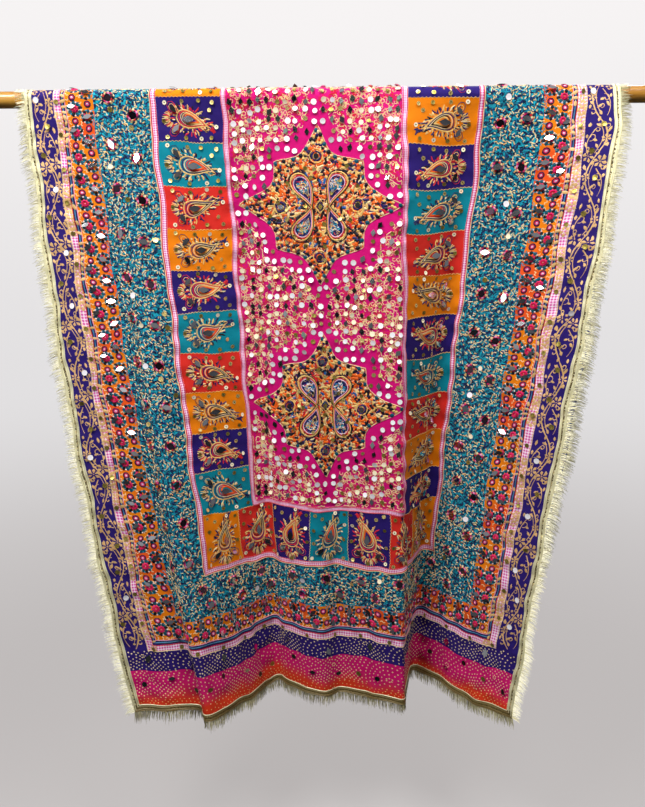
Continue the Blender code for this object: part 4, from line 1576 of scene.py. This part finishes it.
def make_orange_work():
    """Two staggered rows of stitched flowers with mirrors, and ringed dots between them."""
    teal, orange = box_of("teal"), box_of("orange")
    draw = np.random.default_rng(91)
    work = Work("orange_flowers", "orange_cloth")
    shiny = Work("orange_mirrors", "orange_cloth", CLOTH_HALF + 0.0006)
    outer = ring_spots(blend_box(teal, orange, 0.70), OUTER_PITCH)
    inner = ring_spots(blend_box(teal, orange, 0.26), INNER_PITCH, 0.5)
    outer[:, 2] += draw.normal(0, 0.3, len(outer))
    inner[:, 2] += draw.normal(0, 0.3, len(inner))
    flowers(work, outer, 9, 0, 0.0158, 0.0050, ("dark_teal", "black", "dark_teal"), 0.35, 0.0122, 0.0020)
    work.lines(circle(0.0050, 10), outer, 0.0044, 0.0018, "magenta", 0.0006)
    work.lines(circle(0.0026, 8), outer, 0.0026, 0.0019, "red", 0.0005)
    work.blobs(disc(0.0019, 6) - (0.0003, 0), outer, 0.0020, "pink", 0.0006)
    flowers(work, inner, 8, 0.5, 0.0144, 0.0047, ("black", "dark_teal"), 0.39, 0.0112, 0.0019)
    work.lines(circle(0.0060, 7, 0.4, 2.6), inner, np.linspace(0.0044, 0.0018, 8), 0.0016, "magenta", 0.0006)
    shiny.plates(EYE_PLATE * 0.0048, inner, "mirror", 0.12, 0.0010, 0.0, 92)
    some = draw.random(len(outer)) < 0.78
    shiny.plates(EYE_PLATE * 0.0040, moved(outer, 0.0050, 0.0046)[some], "mirror", 0.12, 0.0014, 0.0, 93)
    leaf = moved(outer, 0.0085, 0.0080)[~some]
    work.blobs(teardrop(0.0030, 0.0058, 0.0014, 7)[:-1], leaf, 0.0010, "black", 0.0003)
    rows = [ring_spots(blend_box(teal, orange, 0.74), OUTER_PITCH, 0.5)]
    rows.append(ring_spots(blend_box(teal, orange, 0.22), INNER_PITCH))
    dots = np.concatenate(rows)
    work.lines(circle(0.0056, 10), dots, 0.0028, 0.0012, "dark_plum")
    work.lines(circle(0.0033, 8), dots, 0.0024, 0.0013, "magenta", 0.0001)
    work.blobs(disc(0.0025, 7), dots, 0.0015, "lilac", 0.0003)
    squiggle = np.array([(-0.0045, -0.001), (-0.0015, 0.0016), (0.0015, -0.0012), (0.0042, 0.0008)])
    for share, pitch, finish in ((0.94, 0.0100, "cream"), (0.50, 0.0120, "cream"), (0.05, 0.0110, "teal")):
        bits = ring_spots(blend_box(teal, orange, share), pitch)
        bits[:, 2] += draw.random(len(bits)) * 6
        bits = bits[clear_of(bits[:, :2], np.concatenate([outer, inner, dots]), 0.0095)]
        work.lines(squiggle, bits, 0.0020, 0.0006, finish)
    work.finished()
    shiny.finished()


def at_sides(spots, draw, size, spread):
    """The spots that lie on the side strips, each turned and sized its own way."""
    found = spots[(spots[:, 0] < BANDS["pink_left"][1]) | (spots[:, 0] > BANDS["pink_right"][0])]
    found[:, 2] += draw.random(len(found)) * 6
    found[:, 3] = size + spread * draw.random(len(found))
    return found


def cords(work, rows):
    """Stitching round rectangles. A row gives the box, how far out, the width, the height and the thread."""
    for box, out, width, height, finish in rows:
        work.strokes(ring_path(box, out)[None], width, height, finish)


def make_pink_work():
    """Gold print, cords and sequins on the pink checked strip, and the edges of the other ribbons."""
    orange, pink = box_of("orange"), box_of("pink")
    ribbon, narrow = box_of("inner_ribbon"), box_of("field_ribbon")
    draw = np.random.default_rng(101)
    work = Work("pink_prints", "pink_ribbon")
    cords(work, (
        (orange, 0.0006, 0.0016, 0.0007, "pink"), (orange, 0.0026, 0.0016, 0.0007, "black"),
        (orange, 0.0050, 0.0020, 0.0009, "blue"), (orange, 0.0074, 0.0018, 0.0007, "black"),
        (STRIPE, 0.0006, 0.0018, 0.0008, "red"), (pink, -0.0012, 0.0018, 0.0008, "cream"),
    ))
    prints = ring_spots(blend_box(STRIPE, pink, 0.52), 0.0110)
    kept = np.sin(np.arange(len(prints)) * 0.5) + draw.normal(0, 0.5, len(prints)) > -0.35
    prints = at_sides(prints[kept], draw, 0.95, 0.45)
    for k in range(5):
        work.blobs(petal(2 * math.pi * k / 5, 0.0008, 0.0078, 0.0032), prints, 0.0005, "gold_print")
    bits = ring_spots(blend_box(orange, STRIPE, 0.55), 0.0100)
    bits = at_sides(bits[draw.random(len(bits)) < 0.74], draw, 0.9, 0.6)
    work.blobs(disc(0.0030, 6) * (1.5, 0.8), bits, 0.0006, "gold_print", 0.0006)
    work.base += RIBBON_LIFT
    cords(work, (
        (ribbon, -0.0006, 0.0016, 0.0007, "cream"), (ribbon, -0.0026, 0.0022, 0.0008, "red"),
        (box_of("patches"), 0.0010, 0.0016, 0.0007, "red"), (narrow, -0.0012, 0.0016, 0.0007, "red"),
        (narrow, -0.0090, 0.0016, 0.0007, "red"),
    ))
    work.finished()
    shiny = Work("pink_sequins", "pink_ribbon", CLOTH_HALF + 0.0006)
    shiny.plates(ROUND * 0.0046, ring_spots(blend_box(STRIPE, pink, 0.55), 0.0600), "dull_gold", 0.18, 0.0006,
                 0.0004, 102)
    shiny.finished()


# The printed vine repeats at this pitch
VINE_PITCH = 0.148
# How far the stem and the thinner stem that crosses it sway, and how far the side stems keep from the stem
STEM_SWAY = 0.0125
CROSS_SWAY = 0.0150
STEM_GAP = 0.0062
# The border's width that the vine was drawn for
VINE_WIDTH = 0.040
# The vine's curls, in millimetres from the middle of a repeat: a, b, hand and radius
VINE_CURLS = (
    (-8.5, -36, 1, 6.8), (9, 40, -1, 6.8), (-10.5, 60, -1, 4.8), (11, -62, 1, 4.8), (-3.5, 10, 1, 4.5),
    (13, 18, -1, 4), (-13.5, -18, 1, 4), (-2, -50, -1, 4.2), (2.5, 52, 1, 4.2),
)
# Its flowers: a, b, and size as a share
VINE_FLOWERS = ((-9.5, -6, 1.0), (10, 4, 1.0), (-12, 36, 0.72), (12.5, -34, 0.72))
# Its leaves: a, b, angle in radians, and length
VINE_LEAVES = (
    (6, -55, 2.5, 13), (10, -48, 0.6, 10), (12, -22, 1.2, 12), (4, -12, 2.2, 10), (-4, 18, 0.9, 11),
    (-10, 22, 2.6, 10), (-12, 46, 2.0, 13), (-4, 58, 0.5, 12), (2, 68, 1.8, 10), (-14, -52, 1.0, 12),
    (-16, -22, 1.9, 10), (15, 20, 1.3, 12), (14, 56, 1.7, 12), (-2, -68, 1.2, 10), (-14, 6, 4.6, 10),
    (15, -10, 4.8, 10), (-16, 20, 1.4, 9), (-16, -36, 1.7, 9), (16, 38, 1.5, 9), (16, -56, 1.6, 9),
    (-15, 66, 1.3, 9), (0, 32, 0.4, 9), (1, -40, 2.7, 9), (16, 4, 1.7, 8),
)
# A leaf's outline, along it as a share of its length and across it as a share of its width
LEAF_SHAPE = ((0, 0), (0.30, -0.42), (0.65, -0.40), (1.0, 0.06), (0.62, 0.46), (0.28, 0.34))
LEAF_WIDTH = 0.0056


def spiral(radius, hand):
    """A curl that winds inwards."""
    share = np.linspace(0, 1, 12)
    angle = 1.2 * hand + hand * 0.85 * 2 * math.pi * share
    reach = radius * (1 - 0.78 * share)
    return np.stack([np.cos(angle), np.sin(angle)], axis=1) * reach[:, None]


def vine_leaf(a, b, angle, long):
    """A printed leaf that starts at a place and points at an angle."""
    along = np.array([math.cos(angle), math.sin(angle)])
    aside = np.array([-along[1], along[0]])
    return np.array([(a, b) + along * long * x + aside * LEAF_WIDTH * y for x, y in LEAF_SHAPE])


def vine_print(work, spots, wide):
    """One repeat of the vine at every spot, stretched across to the border's width."""
    steps = np.linspace(0, 1, 33)
    b = (steps - 0.5) * VINE_PITCH
    wave = STEM_SWAY * wide * np.sin(steps * 2 * math.pi)
    swell = 0.0019 + 0.0009 * np.abs(np.sin(steps * 4 * math.pi))
    work.lines(np.stack([wave, b], axis=1), spots, swell, PRINT_HEIGHT, "gold_print")
    for first, shift in ((2, -STEM_GAP), (18, STEM_GAP)):
        path = np.stack([wave + shift, b], axis=1)[first:first + 13]
        work.lines(path, spots, 0.0015, PRINT_HEIGHT, "gold_print")
    cross = np.stack([-CROSS_SWAY * wide * np.sin(steps * 2 * math.pi + 0.5), b], axis=1)
    width = np.linspace(0.0010, 0.0022, 12)
    for first in (1, 17):
        work.lines(cross[first:first + 12], spots, width, PRINT_HEIGHT, "gold_print")
    for a, b, hand, radius in VINE_CURLS:
        path = spiral(radius / 1000 * 1.20, hand) + (a / 1000 * wide, b / 1000)
        work.lines(path, spots, np.linspace(0.0012, 0.0023, 12), PRINT_HEIGHT, "gold_print")
    for a, b, size in VINE_FLOWERS:
        middle = (a / 1000 * wide, b / 1000)
        for k in range(6):
            outline = petal(2 * math.pi * k / 6 + 0.3, 0.0020, 0.0122, 0.0031) * size + middle
            work.blobs(outline, spots, PRINT_HEIGHT, "gold_print")
        work.blobs(disc(0.0014, 5) * size + middle, spots, 0.0005, "gold_print")
    for a, b, angle, long in VINE_LEAVES:
        leaf = vine_leaf(a / 1000 * wide, b / 1000, angle, long / 1000)
        work.blobs(leaf, spots, PRINT_HEIGHT, "gold_print")


def make_vine():
    """A printed gold vine down both navy borders, with sequins."""
    work = Work("navy_vine", "navy_cloth")
    shiny = Work("navy_sequins", "navy_cloth", CLOTH_HALF + 0.0005)
    draw = np.random.default_rng(111)
    _, _, low, high = box_of("pink")
    for hand, flip in (("left", 1.0), ("right", -1.0)):
        left, right = BANDS[f"navy_{hand}"]
        middle = (left + right) / 2
        count = int((high - low) / VINE_PITCH)
        w = high - 0.004 - VINE_PITCH * (np.arange(count) + 0.5)
        vine_print(work, spots_at(middle, w, 0.0, 1.0, flip), (right - left) / VINE_WIDTH)
        w = np.arange(low + 0.03, high - 0.02, 0.058)
        u = middle + np.where(np.arange(len(w)) % 2, 0.006, -0.007) + draw.normal(0, 0.002, len(w))
        spots = spots_at(u, w + draw.normal(0, 0.006, len(w)))
        white = draw.random(len(w)) < 0.36
        shiny.plates(ROUND * 0.0058, spots[white], "white_sequin", 0.16, 0.0006, 0.0005, 112)
        shiny.plates(ROUND * 0.0052, spots[~white], "dull_gold", 0.16, 0.0006, 0.0005, 113)
    work.finished()
    shiny.finished()


def arc_dots(box, cell, pitch, ring):
    """Dots in arcs round points along the middle of a band."""
    found = []
    for number, centre in enumerate(np.arange(box[0] + cell * 0.3, box[1] + cell, cell)):
        away = 0.010 if number % 2 else -0.010
        for radius in np.arange(0.0045, cell * 0.75, ring):
            count = max(6, int(2 * math.pi * radius / pitch))
            turns = 2 * math.pi * (np.arange(count) + 0.3 * number) / count
            shape = 1.0 if number % 2 else 1 / (np.abs(np.cos(turns)) + np.abs(np.sin(turns)))
            u = centre + radius * np.cos(turns) * shape * 1.15
            w = (box[2] + box[3]) / 2 + away + radius * np.sin(turns) * shape
            mine = np.abs(u - centre) < cell / 2
            found.append(np.stack([u[mine], w[mine]], axis=1))
    found = np.concatenate(found)
    return found[in_box(grown(box, -0.001), *found.T)]


def make_end_work():
    """Tied dots, mirrors and sequins on the bands across both ends."""
    work = Work("end_dots", "navy_cloth")
    warm = Work("magenta_dots", "magenta_cloth")
    shiny = Work("end_sequins", "magenta_cloth", CLOTH_HALF + 0.0004)
    draw = np.random.default_rng(121)
    left, right, _, _ = INSIDE_TAPE
    for side, sign in SIGN.items():
        edges = {row: sorted(sign * edge for edge in ROWS[side][row]) for row in DOWN}
        for row, cell, pitch, ring, holder, finish, size in (
            ("navy_dots", NAVY_CELL, 0.0074, 0.0086, work, "cream", 0.00175),
            ("magenta_dots", 0.124, 0.0076, 0.0086, warm, "cream", 0.00165),
            ("red_edge", 0.160, 0.0080, 0.0080, warm, "gold", 0.00140),
        ):
            places = arc_dots((left, right, *edges[row]), cell, pitch, ring)
            places = places + draw.normal(0, 0.0004, places.shape)
            holder.blobs(disc(1.0, 4) * size, spots_at(*places.T), 0.0005, finish)
        low, high = edges["navy_dots"]
        u = np.arange(left + 0.04, right - 0.02, NAVY_CELL)
        w = (low + high) / 2 + np.where(np.arange(len(u)) % 2, 0.006, -0.006)
        spots = spots_at(u, w, draw.normal(0, 0.2, len(u)))
        shiny.plates(RHOMBUS * 0.0066, spots, "mirror", 0.12, 0.0006, 0.0, 122)
        low, high = edges["magenta_dots"]
        u = np.arange(left + 0.02, right - 0.01, 0.052)
        spots = spots_at(u + draw.normal(0, 0.006, len(u)), draw.uniform(low + 0.010, high - 0.006, len(u)))
        # Half of the round mirrors by the hem get the painted dark reflection
        shiny.plates(ROUND * 0.0056, spots[::2], "mirror_painted_dark", 0.18, 0.0006, 0.0, 123)
        shiny.plates(EYE_PLATE[:, ::-1][::-1] * 0.0040, spots[1::4], "mirror", 0.16, 0.0006, 0.0, 124)
        shiny.plates(ROUND * 0.0056, spots[3::4], "dull_gold", 0.18, 0.0006, 0.0, 125)
    work.finished()
    warm.finished()
    shiny.finished()


make_teal_work()
make_orange_work()
make_pink_work()
make_vine()
make_end_work()


# The rod

def wood():
    """Varnished pale wood, with grain along the rod."""
    shader = Shader("rod_wood", (190, 134, 48), 0.32)
    place = shader.place()
    drawn = shader.node("Mapping", {"Vector": place, "Scale": (3.0, 90.0, 90.0)}).outputs[0]
    fine = shader.node("Mapping", {"Vector": place, "Scale": (14.0, 420.0, 420.0)}).outputs[0]
    grain = shader.ramp(shader.noise(1.0, 6.0, drawn), 0.35, 0.68)
    color = shader.mix(grain, (198, 146, 60), (158, 104, 34))
    color = shader.mix(shader.ramp(shader.noise(1.0, 3.0, fine), 0.52, 0.80), color, (132, 84, 28))
    shader.finish("Base Color", color)
    shader.finish("Coat Weight", 0.4)
    shader.bump(grain, 0.15, 0.0004)
    return shader.material


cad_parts["rod"].material_slots[0].material = wood()


# Studio, light and camera

def studio_cloth():
    """Pale matt floor that passes far out into a backdrop. Most of it glows: painted shade, darkest under the
    cloth, and painted light above.
    """
    shader = Shader("studio", (232, 228, 226), 0.9)
    x, y, z = shader.parts(shader.place())
    away = shader.math("SQRT", shader.math("MULTIPLY_ADD", x, x, shader.math("MULTIPLY", y, y)))
    height = shader.math("MULTIPLY_ADD", away, 0.3, shader.math("SUBTRACT", z, FLOOR_HEIGHT))
    # Painted shade and light: the glow is darkest on the floor under the cloth and lighter further out and
    # higher up; near the cloth a little of the floor is lit for real
    low = shader.mix(shader.ramp(height, 0.0, 1.9), (186, 181, 180), (226, 224, 225))
    painted_glow = shader.node("Emission", {"Color": shader.mix(shader.ramp(height, 1.7, 5.2), low, (247, 244, 244))})
    share = shader.math("MULTIPLY_ADD", shader.ramp(away, 0.3, 1.6), 0.22, 0.78)
    both = shader.node("MixShader", {0: share, 1: shader.shader.outputs[0], 2: painted_glow.outputs[0]})
    shader.set(shader.tree.nodes["Material Output"], 0, both.outputs[0])
    return shader.material


def make_studio():
    """A round floor that curves up into a backdrop. It is only seen: it throws no light and no shadow."""
    sides = 96
    turns = np.linspace(0, math.pi / 2, 13)
    radii = np.concatenate([FLOOR_RINGS, STUDIO_RADIUS - STUDIO_BEND * (1 - np.sin(turns)), [STUDIO_RADIUS]])
    rises = np.concatenate([[0, 0], STUDIO_BEND * (1 - np.cos(turns)), [STUDIO_TOP - FLOOR_HEIGHT]])
    around = 2 * math.pi * np.arange(sides) / sides
    x, y = radii[:, None] * np.cos(around), radii[:, None] * np.sin(around)
    z = np.broadcast_to(FLOOR_HEIGHT + rises[:, None], x.shape)
    points = np.concatenate([[[0, 0, FLOOR_HEIGHT]], np.stack([x, y, z], axis=2).reshape(-1, 3)])
    ring, side = np.meshgrid(np.arange(len(radii) - 1), np.arange(sides), indexing="ij")
    first, second = 1 + ring * sides + side, 1 + ring * sides + (side + 1) % sides
    walls = np.stack([first, first + sides, second + sides, second], axis=2).reshape(-1, 4)
    faces = [fan_faces(sides), walls]
    made = build_mesh("studio", points, faces, [studio_cloth()], np.zeros(sides + len(walls)))
    made.visible_diffuse = False
    made.visible_glossy = False
    made.visible_transmission = False
    made.visible_shadow = False


def area_light(name, place, target, size, power):
    """A soft rectangular light aimed at a point."""
    data = bpy.data.lights.new(name, "AREA")
    data.shape = "RECTANGLE"
    data.size, data.size_y = size
    data.energy = power
    light = bpy.data.objects.new(name, data)
    light.location = place
    light.rotation_euler = (Vector(target) - Vector(place)).to_track_quat("-Z", "Y").to_euler()
    light.visible_camera = False
    bpy.context.scene.collection.objects.link(light)


def make_light():
    """Soft lights before and behind the cloth, and for the mirrors a sky that is bright above."""
    area_light("left", (-0.80, -1.05, 1.15), (0.0, 0.0, -0.25), (0.9, 0.7), 46)
    area_light("top", (0.55, -0.95, 1.20), (0.18, 0.0, -0.15), (0.8, 0.6), 27)
    area_light("front", (-1.5, -2.1, 0.5), (0.0, 0.0, -0.3), (0.8, 0.8), 6)
    area_light("back", (0.8, 2.4, 2.2), (0.0, 0.0, -0.6), (1.8, 1.4), 80)
    world = bpy.data.worlds.new("sky")
    world.use_nodes = True
    sky = Nodes(world.node_tree)
    way = sky.node("TexCoord").outputs["Generated"]
    inputs = {"Value": sky.parts(way)[2], "From Min": -0.05, "From Max": 0.55}
    ramp = sky.node("ValToRGB", {0: sky.node("MapRange", inputs).outputs[0]})
    below, above = ramp.color_ramp.elements
    below.color = (0.16, 0.16, 0.18, 1)
    above.color = (0.95, 0.95, 1.0, 1)
    inputs = {"Value": sky.noise(5.0, 1.0, way), "From Min": 0.42, "From Max": 0.62,
              "To Min": 0.06, "To Max": 0.52}
    background = world.node_tree.nodes["Background"]
    sky.set(background, 0, ramp.outputs[0])
    sky.set(background, 1, sky.node("MapRange", inputs).outputs[0])
    bpy.context.scene.world = world
    bpy.context.scene.view_settings.view_transform = "Standard"


def make_camera():
    """The camera at the photograph's place."""
    ahead = math.cos(EYE_DOWN)
    forward = Vector((math.sin(EYE_TURN) * ahead, math.cos(EYE_TURN) * ahead, -math.sin(EYE_DOWN)))
    level = Vector((math.cos(EYE_TURN), -math.sin(EYE_TURN), 0))
    above = level.cross(forward)
    right = level * math.cos(EYE_ROLL) + above * math.sin(EYE_ROLL)
    up = above * math.cos(EYE_ROLL) - level * math.sin(EYE_ROLL)
    data = bpy.data.cameras.new("camera")
    data.sensor_width = SENSOR
    data.lens = SENSOR * EYE_FOCAL / FRAME_HEIGHT
    camera = bpy.data.objects.new("camera", data)
    columns = [(*axis, 0) for axis in (right, up, -forward)] + [(*EYE, 1)]
    camera.matrix_world = Matrix(columns).transposed()
    bpy.context.scene.collection.objects.link(camera)
    bpy.context.scene.camera = camera


make_studio()
make_light()
make_camera()
